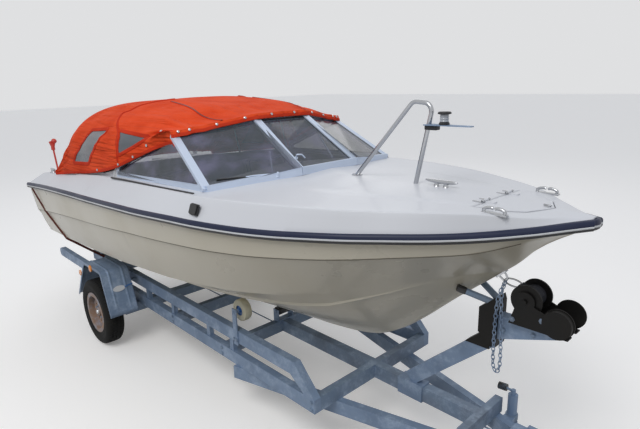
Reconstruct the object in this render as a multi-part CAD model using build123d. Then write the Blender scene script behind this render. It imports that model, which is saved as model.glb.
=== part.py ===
from build123d import *
from collections import namedtuple
import math
import os

# Speedboat with windscreen, hood and outboard, standing on its trailer.
# Millimetres. X runs forward, Y to port, Z up from the ground. Stations are measured
# from the front face of the trailer's front cross-beam, and written() moves every piece
# so that the origin lies on the ground at the middle of the whole outfit.

# Shells
HULL_SKIN = 12.0
DECK_SKIN = 10.0
TRANSOM = 42.0
JOINT_DROP = 22.0
SEAT = 0.3

# Rub rail
RAIL_STAND = 20.0
RAIL_HEIGHT = 45.0
RAIL_NOSE = 22.0

# Bottom strake and topside step
STRAKE_SHARE = 0.80
STRAKE_ROOT = 0.05
STRAKE_DROP = 14.0
STRAKE_RISE = (0.0, 500.0)
STEP_IN = 14.0
STEP_DOWN = 7.0

# Table of offsets: one row a station, heights above the ground and half breadths
Station = namedtuple(
    "Station",
    "x keel chine_y chine_z knuckle_y knuckle_z rail_y rail_z crease_y crease_z crown",
)
OFFSETS = [
    Station(-3600, 530, 820, 808, 905, 1035, 945, 1307, 800, 1385, 1395),
    Station(-3000, 530, 832, 835, 935, 1105, 972, 1360, 828, 1437, 1450),
    Station(-2400, 530, 836, 866, 950, 1160, 987, 1396, 848, 1508, 1525),
    Station(-1800, 530, 840, 906, 960, 1208, 998, 1425, 862, 1558, 1575),
    Station(-1200, 532, 838, 960, 960, 1262, 1000, 1455, 875, 1580, 1615),
    Station(-600, 543, 765, 1008, 922, 1303, 964, 1482, 880, 1595, 1664),
    Station(-200, 580, 637, 1044, 842, 1328, 882, 1489, 819, 1606, 1634),
    Station(0, 625, 548, 1076, 778, 1345, 818, 1495, 760, 1610, 1622),
    Station(200, 733, 437, 1117, 695, 1363, 736, 1505, 690, 1613, 1625),
    Station(350, 852, 346, 1152, 620, 1380, 662, 1512, 620, 1615, 1628),
    Station(500, 988, 242, 1196, 533, 1399, 577, 1521, 533, 1617, 1629),
    Station(650, 1124, 126, 1234, 436, 1416, 479, 1528, 443, 1620, 1626),
    Station(780, 1240, 24, 1256, 340, 1432, 384, 1537, 357, 1620, 1624),
    Station(1000, 1445, 12, 1453, 140, 1500, 200, 1564, 178, 1603, 1616),
    Station(1120, 1522, 6, 1526, 55, 1548, 86, 1585, 62, 1600, 1612),
    Station(1185, 1560, 2, 1562, 12, 1567, 21, 1595, 14, 1604, 1607),
]
HULL_HOLLOW_END = 650.0
DECK_HOLLOW_END = 1000.0
STERN_X = OFFSETS[0].x

# Cockpit and motor well openings in plan
COCKPIT_PLAN = [(-3030, 680), (-1700, 765), (-800, 735)]
WELL_LENGTH = 420.0
WELL_HALF = 335.0
WELL_FLOOR = 1000.0
WELL_SKIN = 8.0
NOTCH_Z = 1062.0
SOLE_TOP = 818.0
SOLE_SKIN = 18.0

# Anchor locker: port half of its outline, each point with the way it draws in
PlanPoint = namedtuple("PlanPoint", "x y lean_x lean_y")
LOCKER_PLAN = [
    PlanPoint(742, 230, -1, 1),
    PlanPoint(875, 206, 0.5, 1),
    PlanPoint(951, 141, 1, 1),
    PlanPoint(1020, 0, 1.5, 0),
]
LOCKER_GAP = 5.0
LID_THICK = 14.0
HINGE_X = 742.0
HINGE_Z = 1632.0
HINGE_Y = (-115, 115)
HINGE_R = 6.0
HINGE_PIN = 3.0
HINGE_LEAF = 50.0
LOCKER_WELL = ((765, 940), (-100, 100), (1450, 1700))

# Coaming beside the cockpit, from the windscreen's last post down to the after deck
COAMING = [(-2480, 1492), (-1743, 1540), (-1743, 1612), (-1935, 1570), (-2480, 1505)]
COAMING_Y = (792, 822)

# Windscreen: corners of its panes on the port side
SCREEN_POST = 50.0
SCREEN_BAR = 48.0
SCREEN_DEEP = 22.0
GLASS = 5.0
CORNER_FOOT = (-584, 793, 1612)
CORNER_HEAD = (-1056, 711, 1880)
CENTRE_FOOT = (-399, 243, 1664)
CENTRE_HEAD = (-876, 213, 1959)
REAR_FOOT = (-1720, 812, 1572)
REAR_HEAD = (-1725, 808, 1640)

# Hood: one row a section, half breadth and heights
HoodSection = namedtuple("HoodSection", "x half low top fullness")
HOOD = [
    HoodSection(-860, 728, 1880, 1985, 2.6),
    HoodSection(-1060, 738, 1862, 2030, 2.6),
    HoodSection(-1400, 790, 1752, 2078, 2.7),
    HoodSection(-1720, 845, 1640, 2092, 2.8),
    HoodSection(-2150, 862, 1545, 2092, 2.9),
    HoodSection(-2600, 852, 1492, 2055, 2.9),
    HoodSection(-2900, 842, 1456, 1830, 2.7),
    HoodSection(-3130, 836, 1432, 1500, 2.6),
]
HOOD_CLOTH = 8.0
HOOD_POINTS = 9
BOW_TUBE = 11.0
BOW_CLEAR = 2.0
BOW_STATIONS = (-1790, -2570)

# Bow hoop
HOOP_TUBE = 12.5
HOOP_BEND = 45.0
HOOP_FEET = (-168, 262)
HOOP_TOPS = ((236, 2072), (362, 2060))
FLANGE_R = 32.0
FLANGE_T = 5.0
LAMP_X = 430.0
LAMP_Z = 1956.0
LAMP_PLATE = (322, 590)
CLEAT_X = 425.0
CLEAT_LONG = 200.0

# Trailer frame
FRAME_HALF = 562.0
FRAME_TOP = 426.0
BEAM_H = 90.0
BEAM_W = 50.0
UPPER_TOP = 602.0
UPPER_FRONT = -167.0
FRAME_REAR = -3250.0
UPRIGHTS = (-3000, -2740, -2090, -1650, -1127, -832)
CROSS_BEAMS = (-943, -1650, -3175)
BAR_HALF = 330.0
BAR_SLOPE = 0.263
BAR_REAR = -780.0
NOSE_PIECE_X = 700.0
NOSE_PIECE_W = 45.0
NOSE_PIECE_HALF = 205.0
CENTRE_HALF = 32.0
SLANT_FOOT = -88.0
COUPLER_X = 1250.0
BALL_X = 1500.0
BALL_R = 25.0

# Jockey wheel
JOCKEY_X = 790.0
JOCKEY_Y = 235.0
JOCKEY_TOP = 452.0

# Rollers under the hull: side rollers stand a little inside the frame's sides
SideRoller = namedtuple("SideRoller", "name x y")
SIDE_ROLLERS = [SideRoller("fore", -750, FRAME_HALF - 62), SideRoller("aft", -3010, FRAME_HALF - 86)]
ROLLER_R = 75.0
ROLLER_W = 58.0
ROLLER_BORE = 9.0
ROLLER_CLEAR = 5.0
ROLLER_PLATE = 9.0
KEEL_ROLLER_R = 34.0
KEEL_ROLLER_HALF = 60.0
KEEL_PIN = 10.0
KEEL_BITE = 1.5

# Wheels and axle
AXLE_X = -2450.0
TYRE_R = 289.0
TYRE_W = 155.0
RIM_R = 166.0
TRACK_HALF = 815.0
ARM_Y = TRACK_HALF - 140
ARM_BOSS_IN = TRACK_HALF - 155
ARM_BOSS_OUT = TRACK_HALF - 125
ARM_BOSS_R = 34.0
STUB_R = 15.0
HUB_R = 42.0
HUB_GAP = 0.05
TORSION_X = -2310.0
TORSION_H = 80.0

# Mudguards
GUARD_TOP = 715.0
GUARD = [(-2850, 352), (-2610, GUARD_TOP), (-2230, GUARD_TOP), (-2105, 342)]
GUARD_OUT = TRACK_HALF + 57
GUARD_IN = FRAME_HALF + 78
GUARD_SKIN = 4.0
GUARD_LIP = 24.0

# Winch: side cheeks with one lobe round the drum and one round the gear
BOW_STOP_R = 17.0
DRUM_X = 945.0
DRUM_Z = 1166.0
DRUM_FLANGE = 76.0
DRUM_SHAFT = 11.0
Disc = namedtuple("Disc", "x z radius")
WINCH_DISCS = [Disc(DRUM_X, DRUM_Z, 46), Disc(1104, 1106, 70)]

# Lamp arms behind the mudguards, and reflectors on the mudguards' sides
LAMP_ARM_REAR = -3272.0
LAMP_ARM_IN = GUARD_OUT - 70
LAMP_ARM_OUT = GUARD_OUT - 26
LAMP_ARM_LOW = 612.0
LAMP_ARM_TOP = 690.0
REFLECTORS = [Disc(-2440, 694, 22), Disc(-2712, 588, 18)]

# Staff on the after deck, and the straps from the stern cleats to the frame
STAFF_X = -3350.0
STAFF_Y = -738.0
STAFF_TOP = 1640.0
STAFF_FLANGE = 15.0
STRAP_ROUTE = [
    (-3420, 780, 1412), (-3435, 968, 1338), (-3432, 968, 1278), (-3290, 925, 1078), (-3085, 838, 826),
    (-2950, FRAME_HALF + 2, 600),
]

# Outboard
PIVOT_X = -3655.0
PIVOT_Z = 1090.0
STEER_X = -3712.0
PROP_Z = 352.0
PROP_R = 146.0
PLATE_Z = 524.0
COWL_TOP = 1560.0
COWL_LOW = 1165.0

COWL_REACH = 430.0
HEAD_R = 44.0
HEAD_AHEAD = 15.0

REAR_X = STEER_X - COWL_REACH
FRONT_X = BALL_X + HEAD_AHEAD + HEAD_R
MIDDLE = (REAR_X + FRONT_X) / 2

WRITTEN = []


def written(name, *solids):
    """Write one node, moved to the outfit's own origin."""
    shape = solids[0] if len(solids) == 1 else Compound(children=list(solids))
    export_step(Pos(-MIDDLE, 0, 0) * shape, f"parts/{name}.step")
    WRITTEN.append(name)


def span(x, y, z):
    """A block between two values on each axis."""
    return Pos((x[0] + x[1]) / 2, (y[0] + y[1]) / 2, (z[0] + z[1]) / 2) * Box(
        abs(x[1] - x[0]), abs(y[1] - y[0]), abs(z[1] - z[0])
    )


def rod(start, end, radius):
    """A round bar between two points."""
    first = Vector(*start)
    along = Vector(*end) - first
    return Plane(origin=first, z_dir=along) * Cylinder(
        radius, along.length, align=(Align.CENTER, Align.CENTER, Align.MIN)
    )


def beam(start, end, width, height):
    """A rectangular bar between two points, its height upright."""
    first = Vector(*start)
    along = Vector(*end) - first
    side = Vector(0, 0, 1).cross(along)
    return Plane(origin=first, x_dir=side, z_dir=along) * Box(
        width, height, along.length, align=(Align.CENTER, Align.CENTER, Align.MIN)
    )


def pipe(points, bends, radius):
    """A round tube bent through points, one bend radius for each corner."""
    path = FilletPolyline(*points, radius=bends)
    return sweep(Plane(origin=path @ 0, z_dir=path % 0) * Circle(radius), path=path)


def largest(shape):
    """The largest solid of a shape that a cut has parted."""
    return max(shape.solids(), key=lambda solid: solid.volume)


def port_and_starboard(shape):
    """The shape and its mirror image across the centre plane."""
    return [shape, shape.mirror(Plane.XZ)]


def lathe(profile, centre, axis):
    """A turned piece: (radius, along) points about an axis through the centre."""
    face = make_face(Polyline(*[(r, 0, a) for r, a in profile], close=True))
    turned = revolve(face, Axis.Z)
    return Plane(origin=centre, z_dir=axis) * turned


def side_prism(points, y):
    """A prism: (x, z) points carried across from one y to another."""
    face = make_face(Polyline(*[(px, y[0], pz) for px, pz in points], close=True))
    return extrude(face, amount=abs(y[1] - y[0]), dir=(0, 1 if y[1] > y[0] else -1, 0))


def plan_prism(points, z):
    """A prism: (x, y) points carried up from one z to another."""
    face = make_face(Polyline(*[(px, py, z[0]) for px, py in points], close=True))
    return extrude(face, amount=z[1] - z[0], dir=(0, 0, 1))


def station_at(x):
    """The row of offsets at any station, straight between the table's rows."""
    for low, high in zip(OFFSETS, OFFSETS[1:]):
        if low.x <= x <= high.x:
            share = (x - low.x) / (high.x - low.x)
            return Station(*[a + (b - a) * share for a, b in zip(low, high)])
    return OFFSETS[-1] if x > OFFSETS[-1].x else OFFSETS[0]


def deck_top(x, y):
    """Height of the deck's upper face between its crown and its crease."""
    s = station_at(x)
    return s.crown + (s.crease_z - s.crown) * abs(y) / s.crease_y


def bottom_at(x, y):
    """Height of the hull's bottom between its keel and its chine."""
    s = station_at(x)
    return s.keel + (s.chine_z - s.keel) * abs(y) / s.chine_y


def ruled(sections):
    """A body of flat facets through upright sections: (x, half outline from the keel up)."""
    rings = []
    for x, half in sections:
        other = [(-y, z) for y, z in reversed(half) if y > 1e-6]
        rings.append([Vector(x, y, z) for y, z in half + other])
    faces = [Face(Wire.make_polygon(ring, close=True)) for ring in (rings[0], rings[-1])]
    for aft, fore in zip(rings, rings[1:]):
        for k in range(len(aft)):
            after = (k + 1) % len(aft)
            low = k < len(aft) / 2
            cross = (aft[k], fore[after]) if low else (aft[after], fore[k])
            for corner in ((aft[after], fore[k]) if low else (aft[k], fore[after])):
                triangle = [*cross, corner]
                if (triangle[1] - triangle[0]).cross(triangle[2] - triangle[0]).length > 1e-3:
                    faces.append(Face(Wire.make_polygon(triangle, close=True)))
    body = Solid(Shell(faces))
    return body if body.volume > 0 else Solid(body.wrapped.Reversed())


def hull_outline(s):
    """Half outline of the hull: keel, strake, chine, topside step, joint with the deck."""
    def bottom(share):
        return (s.chine_y * share, s.keel + (s.chine_z - s.keel) * share)

    first, last = STRAKE_RISE
    run_out = min(max((s.x - first) / (last - first), 0), 1)
    drop = STRAKE_DROP * (1 - run_out) + 0.5
    share = STRAKE_SHARE + (1 - 1.5 * STRAKE_ROOT - STRAKE_SHARE) * run_out
    root = bottom(share - STRAKE_ROOT)
    lip = bottom(share)
    step = min(STEP_IN, s.knuckle_y * 0.2)
    down = min(STEP_DOWN, (s.knuckle_z - s.chine_z) * 0.3)
    return [
        (0, s.keel),
        root,
        (lip[0], lip[1] - drop),
        bottom(share + STRAKE_ROOT / 5),
        (s.chine_y, s.chine_z),
        (s.knuckle_y - step, s.knuckle_z - down),
        (s.knuckle_y, s.knuckle_z),
        (s.rail_y, s.rail_z - JOINT_DROP),
    ]


def hull_room(s):
    """Half outline of the space inside the hull's skin."""
    return [
        (0, s.keel + HULL_SKIN * 1.3),
        (s.chine_y - HULL_SKIN, s.chine_z + HULL_SKIN * 0.6),
        (s.knuckle_y - HULL_SKIN - STEP_IN, s.knuckle_z),
        (s.rail_y - HULL_SKIN, s.rail_z - JOINT_DROP + 1),
    ]


def deck_outline(s):
    """Half outline of the deck moulding: joint, rail, crease, crown."""
    low = s.rail_z - JOINT_DROP
    return [(0, low), (s.rail_y, low), (s.rail_y, s.rail_z), (s.crease_y, s.crease_z), (0, s.crown)]


def deck_room(s):
    """Half outline of the space under the deck's skin."""
    low = s.rail_z - JOINT_DROP - 1
    return [
        (0, low),
        (s.rail_y - DECK_SKIN * 1.2, low),
        (s.rail_y - DECK_SKIN * 1.2, s.rail_z - 2),
        (s.crease_y - DECK_SKIN * 0.9, s.crease_z - DECK_SKIN),
        (0, s.crown - DECK_SKIN),
    ]


def body_between(outline, first, last):
    """A body through the table's stations between two given ones."""
    stations = [station_at(first)]
    stations += [s for s in OFFSETS if first + 1 < s.x < last - 1]
    stations.append(station_at(last))
    return ruled([(s.x, outline(s)) for s in stations])


def make_boat_shells():
    """Hull, deck, sole, forward bulkhead and motor well."""
    room = body_between(hull_room, STERN_X + TRANSOM, HULL_HOLLOW_END)
    notch = span((STERN_X - 10, STERN_X + TRANSOM + 10), (-WELL_HALF, WELL_HALF), (NOTCH_Z, 1700))
    hull = body_between(hull_outline, STERN_X, OFFSETS[-1].x) - room - notch
    under = body_between(deck_room, STERN_X + TRANSOM, DECK_HOLLOW_END)
    opening = [(x, y) for x, y in COCKPIT_PLAN] + [(x, -y) for x, y in reversed(COCKPIT_PLAN)]
    well = span((STERN_X - 10, STERN_X + WELL_LENGTH), (-WELL_HALF, WELL_HALF), (1200, 1700))
    locker = locker_plan(0)
    moulding = body_between(deck_outline, STERN_X, OFFSETS[-1].x)
    deck = moulding - under
    deck = deck - plan_prism(opening, (1250, 1800)) - well - plan_prism(locker, (1560, 1700))
    hull = hull - span(*LOCKER_WELL)
    sole_slab = span((STERN_X + TRANSOM, -500), (-900, 900), (SOLE_TOP - SOLE_SKIN, SOLE_TOP))
    sole = sole_slab & room
    wall = span((-560, -540), (-900, 900), (SOLE_TOP, 1460)) & room
    wall = wall - span((-600, -500), (-230, 230), (SOLE_TOP - 1, 1380))
    for y in HINGE_Y:
        deck = deck + rod((HINGE_X, y - 36, HINGE_Z), (HINGE_X, y + 36, HINGE_Z), HINGE_PIN)
        for end in (y - 36, y + 24):
            deck = deck + rod((HINGE_X, end, HINGE_Z), (HINGE_X, end + 12, HINGE_Z), HINGE_R)
            deck = deck + span((HINGE_X - HINGE_LEAF, HINGE_X), (end, end + 12), (deck_top(HINGE_X, y) - 8, HINGE_Z))
    for side in (-1, 1):
        deck = deck + side_prism(COAMING, (side * COAMING_Y[0], side * COAMING_Y[1]))
    written("hull", hull)
    written("deck", deck)
    written("cabin_liner", sole + wall)
    make_motor_well(under)
    return hull, deck, moulding


def make_motor_well(under):
    """Motor well liner: floor and walls, open at the stern, its rim against the deck's underside."""
    last = STERN_X + WELL_LENGTH
    out = span((STERN_X + TRANSOM, last + WELL_SKIN), (-WELL_HALF - WELL_SKIN, WELL_HALF + WELL_SKIN), (WELL_FLOOR, 1600))
    walls = out - span((STERN_X, last), (-WELL_HALF, WELL_HALF), (WELL_FLOOR + WELL_SKIN, 1700))
    below = span((STERN_X, last + 20), (-WELL_HALF - 20, WELL_HALF + 20), (WELL_FLOOR, OFFSETS[1].rail_z - 30))
    written("motor_well_liner", (walls & below) + (walls & (Pos(0, 0, -SEAT) * under)))


def locker_plan(gap):
    """Outline in plan of the anchor locker, less a gap all round."""
    port = [(p.x - gap * p.lean_x, p.y - gap * p.lean_y) for p in LOCKER_PLAN]
    return port + [(x, -y) for x, y in reversed(port[:-1])]


def make_locker_lid(moulding):
    """Lid of the anchor locker, cut from the deck's own surface, with two hinges on its aft edge."""
    lid = moulding & plan_prism(locker_plan(LOCKER_GAP), (1540, 1700))
    lid = lid - Pos(0, 0, -LID_THICK) * moulding
    for y in HINGE_Y:
        top = deck_top(HINGE_X, y)
        lid = lid + span((HINGE_X, HINGE_X + HINGE_LEAF), (y - 14, y + 14), (top - 4, top + 5))
        lid = lid + rod((HINGE_X, y - 19, HINGE_Z), (HINGE_X, y + 19, HINGE_Z), HINGE_R)
        lid = lid - rod((HINGE_X, y - 25, HINGE_Z), (HINGE_X, y + 25, HINGE_Z), HINGE_PIN + HUB_GAP)
    written("locker_lid", lid)


def make_rub_rail():
    """Rub rail round the sheer: a band outside the joint of hull and deck."""
    outer = []
    inner = []
    for k, s in enumerate(OFFSETS):
        before = OFFSETS[max(k - 1, 0)]
        after = OFFSETS[min(k + 1, len(OFFSETS) - 1)]
        slope = (after.rail_y - before.rail_y) / (after.x - before.x)
        stand = RAIL_STAND * math.hypot(1, slope)
        outer.append((s.x, s.rail_y + stand, s.rail_z))
        inner.append((s.x, s.rail_y, s.rail_z))
    first = OFFSETS[0]
    outer[-1] = (OFFSETS[-1].x + RAIL_NOSE, 24, OFFSETS[-1].rail_z + 5)
    outer.insert(0, (first.x - 12, first.rail_y + RAIL_STAND, first.rail_z))
    inner.insert(0, (first.x - 12, first.rail_y, first.rail_z))
    band = ruled([(x, [(0, z - RAIL_HEIGHT), (y, z - RAIL_HEIGHT), (y, z), (0, z)]) for x, y, z in outer])
    core = ruled([(x, [(0, z - 90), (y, z - 90), (y, z + 40), (0, z + 40)]) for x, y, z in inner])
    rail = band - core
    written("rub_rail", rail)
    return rail


def flat_pane(corners, thick):
    """A sheet through four corners, the last one laid into the plane of the others."""
    points = [Vector(*c) for c in corners]
    normal = (points[1] - points[0]).cross(points[2] - points[0]).normalized()
    points[3] = points[3] - normal * (points[3] - points[0]).dot(normal)
    face = make_face(Polyline(*points, close=True))
    return extrude(face, amount=thick / 2, both=True, dir=normal)


def other_side(point):
    """The same point on the starboard side."""
    return (point[0], -point[1], point[2])


def make_windscreen(deck):
    """Windscreen frame of bars and posts, scribed to the deck, and its five panes."""
    bars = []
    panes = []
    for flip in (lambda p: p, other_side):
        foot, head = flip(CORNER_FOOT), flip(CORNER_HEAD)
        mid_foot, mid_head = flip(CENTRE_FOOT), flip(CENTRE_HEAD)
        back_foot, back_head = flip(REAR_FOOT), flip(REAR_HEAD)
        bars += [
            beam(foot, head, SCREEN_POST, SCREEN_DEEP),
            beam(mid_foot, mid_head, SCREEN_POST, SCREEN_DEEP),
            beam(back_foot, foot, SCREEN_DEEP, SCREEN_BAR),
            beam(back_head, head, SCREEN_DEEP, SCREEN_BAR * 0.7),
            beam(foot, mid_foot, SCREEN_DEEP, SCREEN_BAR),
            beam(head, mid_head, SCREEN_DEEP, SCREEN_BAR * 0.8),
            span(
                (REAR_FOOT[0] - 22, REAR_FOOT[0] + 22),
                (back_foot[1] - 11, back_foot[1] + 11),
                (REAR_FOOT[2] - SCREEN_BAR / 2, REAR_HEAD[2] + 13),
            ),
        ]
        panes.append(flat_pane([foot, head, back_head, back_foot], GLASS))
        panes.append(flat_pane([foot, head, mid_head, mid_foot], GLASS))
    port, starboard = CENTRE_FOOT, other_side(CENTRE_FOOT)
    port_head, starboard_head = CENTRE_HEAD, other_side(CENTRE_HEAD)
    bars.append(beam(port, starboard, SCREEN_DEEP, SCREEN_BAR))
    bars.append(beam(port_head, starboard_head, SCREEN_DEEP, SCREEN_BAR))
    panes.append(flat_pane([port, port_head, starboard_head, starboard], GLASS))
    frame = bars[0]
    for bar in bars[1:]:
        frame = frame + bar
    frame = largest(frame - deck)
    written("windscreen_frame", frame)
    written("windscreen_panes", *[largest(pane - frame - deck) for pane in panes])
    return frame, panes


def hood_outline(s, inset):
    """Half outline of a hood section: a superellipse above its lower edge."""
    half, low, rise = s.half - inset, s.low, s.top - s.low - inset
    points = []
    for k in range(HOOD_POINTS + 1):
        turn = math.pi / 2 * k / HOOD_POINTS
        y = half * max(math.cos(turn), 0) ** (2 / s.fullness)
        z = low + rise * math.sin(turn) ** (2 / s.fullness)
        points.append((y if k < HOOD_POINTS else 0, z))
    return [(0, low - inset)] + [(half, low - inset)] * bool(inset) + points


def make_hood(frame, panes, deck):
    """Hood: a cloth shell from the windscreen's head to the after deck."""
    outer = ruled([(s.x, hood_outline(s, 0)) for s in HOOD])
    rooms = [HOOD[0]._replace(x=HOOD[0].x + 30)] + HOOD[1:-1]
    rooms.append(HOOD[-1]._replace(x=HOOD[-1].x + HOOD_CLOTH * 2))
    inner = ruled([(s.x, hood_outline(s, HOOD_CLOTH)) for s in rooms])
    head = [(CENTRE_HEAD[0] + 12, -CENTRE_HEAD[1]), (CENTRE_HEAD[0] + 12, CENTRE_HEAD[1])]
    corner = (CORNER_HEAD[0] + 6, CORNER_HEAD[1] + 20)
    plan = [(-3300, -1000), (corner[0], -1000), (corner[0], -corner[1])] + head
    plan += [corner, (corner[0], 1000), (-3300, 1000)]
    hood = (outer - inner) & plan_prism(plan, (1300, 2200))
    hood = hood - frame - deck
    for pane in panes:
        hood = hood - pane
    written("hood", largest(hood))


def hood_at(x):
    """The hood's section at any station, straight between the table's rows."""
    for fore, aft in zip(HOOD, HOOD[1:]):
        if aft.x <= x <= fore.x:
            share = (x - fore.x) / (aft.x - fore.x)
            return HoodSection(*[a + (b - a) * share for a, b in zip(fore, aft)])
    return HOOD[-1]


def make_hood_bows(deck):
    """Two tubular bows that carry the hood, their feet on the side deck."""
    bows = []
    for x in BOW_STATIONS:
        s = hood_at(x)
        curve = hood_outline(s, HOOD_CLOTH + BOW_TUBE + BOW_CLEAR)[2:]
        half = [(s.x, curve[0][0], deck_top(s.x, curve[0][0]) - 30)]
        half += [(s.x, *curve[k]) for k in (3, 5, 7)]
        other = [(px, -py, pz) for px, py, pz in reversed(half)]
        bow = pipe(half + other, [60] * 6, BOW_TUBE) - deck
        bows.append(largest(bow))
    written("hood_bows", *bows)


def make_bow_fittings(hull, deck):
    """Hoop, lamp, cleats, fairleads and stem eye."""
    aft_x, fore_x = HOOP_FEET
    aft_z, fore_z = deck_top(aft_x, 0) + SEAT, deck_top(fore_x, 0) + SEAT
    (top_aft_x, top_aft_z), (top_fore_x, top_fore_z) = HOOP_TOPS
    hoop = pipe(
        [(aft_x, 0, aft_z + SEAT), (top_aft_x, 0, top_aft_z), (top_fore_x, 0, top_fore_z), (fore_x, 0, fore_z + SEAT)],
        [HOOP_BEND, HOOP_BEND], HOOP_TUBE,
    )
    hoop = hoop + rod((aft_x, 0, aft_z), (aft_x, 0, aft_z + FLANGE_T), FLANGE_R)
    hoop = hoop + rod((fore_x, 0, fore_z), (fore_x, 0, fore_z + FLANGE_T), FLANGE_R)
    written("bow_hoop", largest(hoop - deck))
    lamp = span(LAMP_PLATE, (-38, 38), (LAMP_Z - 6, LAMP_Z)) + span((320, 395), (-20, 20), (LAMP_Z - 30, LAMP_Z - 6))
    lamp = lamp + rod((LAMP_X, 0, LAMP_Z), (LAMP_X, 0, LAMP_Z + 56), 27)
    lamp = lamp + rod((LAMP_X, 0, LAMP_Z + 56), (LAMP_X, 0, LAMP_Z + 68), 36)
    written("mast_lamp", largest(lamp - hoop))
    fittings = [horn_cleat(CLEAT_X, 0, CLEAT_LONG)]
    for side in (-1, 1):
        fittings.append(horn_cleat(-3400, side * 770, 120))
        z = deck_top(865, 268)
        base = span((805, 925), (side * 253, side * 283), (z - 8, z + 9))
        for x in (822, 908):
            base = base + rod((x, side * 268, z + 6), (x, side * 258, z + 34), 9)
        fittings.append(base)
    written("cleats", *[largest(piece - deck) for piece in fittings])
    eye = rod((760, 0, 1262), (835, 0, 1230), 9)
    ring = Pos(852, 0, 1223) * Rot(90, 0, 0) * Torus(20, 6)
    written("stem_eye", largest(eye + ring - hull))
    vents = [Pos(-499, side * 927, 1540) * Rot(side * 20, 0, 0) * Box(70, 30, 56) - deck for side in (-1, 1)]
    written("side_lamps", *[largest(vent) for vent in vents])


def horn_cleat(x, y, length):
    """A two-horned cleat on the deck."""
    z = deck_top(x, y)
    base = span((x - length / 3, x + length / 3), (y - 20, y + 20), (z - 4, z + 5))
    neck = span((x - length / 6, x + length / 6), (y - 8, y + 8), (z + 4, z + 24))
    return base + neck + rod((x - length / 2, y, z + 28), (x + length / 2, y, z + 28), 7)


def make_interior():
    """Helm console, wheel, seats and stern bench."""
    profile = [(-560 - SEAT, 1180), (-860, 1160), (-930, 1240), (-905, 1420), (-820, 1485), (-560 - SEAT, 1500)]
    consoles = [side_prism(profile, (side * 262, side * 735)) for side in (-1, 1)]
    hub = (-935, -470, 1345)
    axis = Vector(-1, 0, 0.35).normalized()
    shaft = rod(Vector(*hub), Vector(*hub) + axis * 80, 11)
    mount_ring = Plane(origin=Vector(*hub) + axis * 75, z_dir=axis)
    wheel = mount_ring * Torus(165, 12) + mount_ring * Cylinder(34, 20)
    for turn in (90, 210, 330):
        spoke = Rot(0, 0, turn) * Pos(90, 0, 0) * Box(155, 22, 8)
        wheel = wheel + mount_ring * spoke
    wheel = wheel - (Plane(origin=Vector(*hub), z_dir=axis) * Cylinder(
        11 + HUB_GAP, 100, align=(Align.CENTER, Align.CENTER, Align.MIN)))
    column = rod(Vector(*hub) - axis * 40, Vector(*hub), 24)
    written("helm_consoles", consoles[0] + column + shaft, consoles[1])
    written("steering_wheel", wheel)
    bases = []
    for name, side in (("helm", -1), ("mate", 1)):
        seat = [(-1620, 1130), (-1190, 1130), (-1190, 1235), (-1540, 1230), (-1640, 1560), (-1730, 1550)]
        bases.append(span((-1640, -1240), (side * 260, side * 510), (SOLE_TOP, 1130)))
        written(f"{name}_seat", side_prism(seat, (side * 250, side * 690)))
    bases.append(span((-3020, -2640), (-640, 640), (SOLE_TOP, 1120)))
    written("seat_bases", *bases)
    written("stern_seat", span((-3000, -2620), (-636, 636), (1120 + SEAT, 1210)))


def make_outboard():
    """Outboard: clamp bracket, swivel, powerhead, leg and propeller."""
    cheeks = span((STEER_X - 30, STERN_X), (78, 96), (800, 1062)) + rod((PIVOT_X, 78, PIVOT_Z), (PIVOT_X, 96, PIVOT_Z), 34)
    cheeks = cheeks + span((PIVOT_X - 30, STERN_X), (78, 96), (1040, PIVOT_Z))
    cheeks = cheeks + span((STERN_X - 20, STERN_X + TRANSOM + 24), (78, 116), (NOTCH_Z, NOTCH_Z + 26))
    cheeks = cheeks + span((STERN_X + TRANSOM, STERN_X + TRANSOM + 24), (78, 116), (WELL_FLOOR + WELL_SKIN, NOTCH_Z + 26))
    pin = rod((PIVOT_X, -96, PIVOT_Z), (PIVOT_X, 96, PIVOT_Z), 14)
    low_tie = rod((STEER_X + 52, -80, 830), (STEER_X + 52, 80, 830), 9)
    bracket = cheeks + cheeks.mirror(Plane.XZ) + pin + low_tie
    written("engine_bracket", bracket)
    tube = rod((STEER_X, 0, 860), (STEER_X, 0, 1112), 36) + span((STEER_X, PIVOT_X + 34), (-72, 72), (1050, 1112))
    tube = tube - rod((PIVOT_X, -80, PIVOT_Z), (PIVOT_X, 80, PIVOT_Z), 14 + HUB_GAP)
    tube = tube - rod((STEER_X, 0, 850), (STEER_X, 0, 1120), 22 + HUB_GAP)
    written("engine_swivel", tube)
    post = rod((STEER_X, 0, 850), (STEER_X, 0, 1130), 22)
    leg = engine_leg()
    leg = leg + post + span((STEER_X - 150, STEER_X + 40), (-60, 60), (1118, COWL_LOW))
    leg = leg + span((STEER_X - 130, STEER_X + 20), (-22, 22), (822, 854))
    written("engine_leg", leg)
    written("engine_cowl", engine_cowl())
    written("propeller", propeller())


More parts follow.
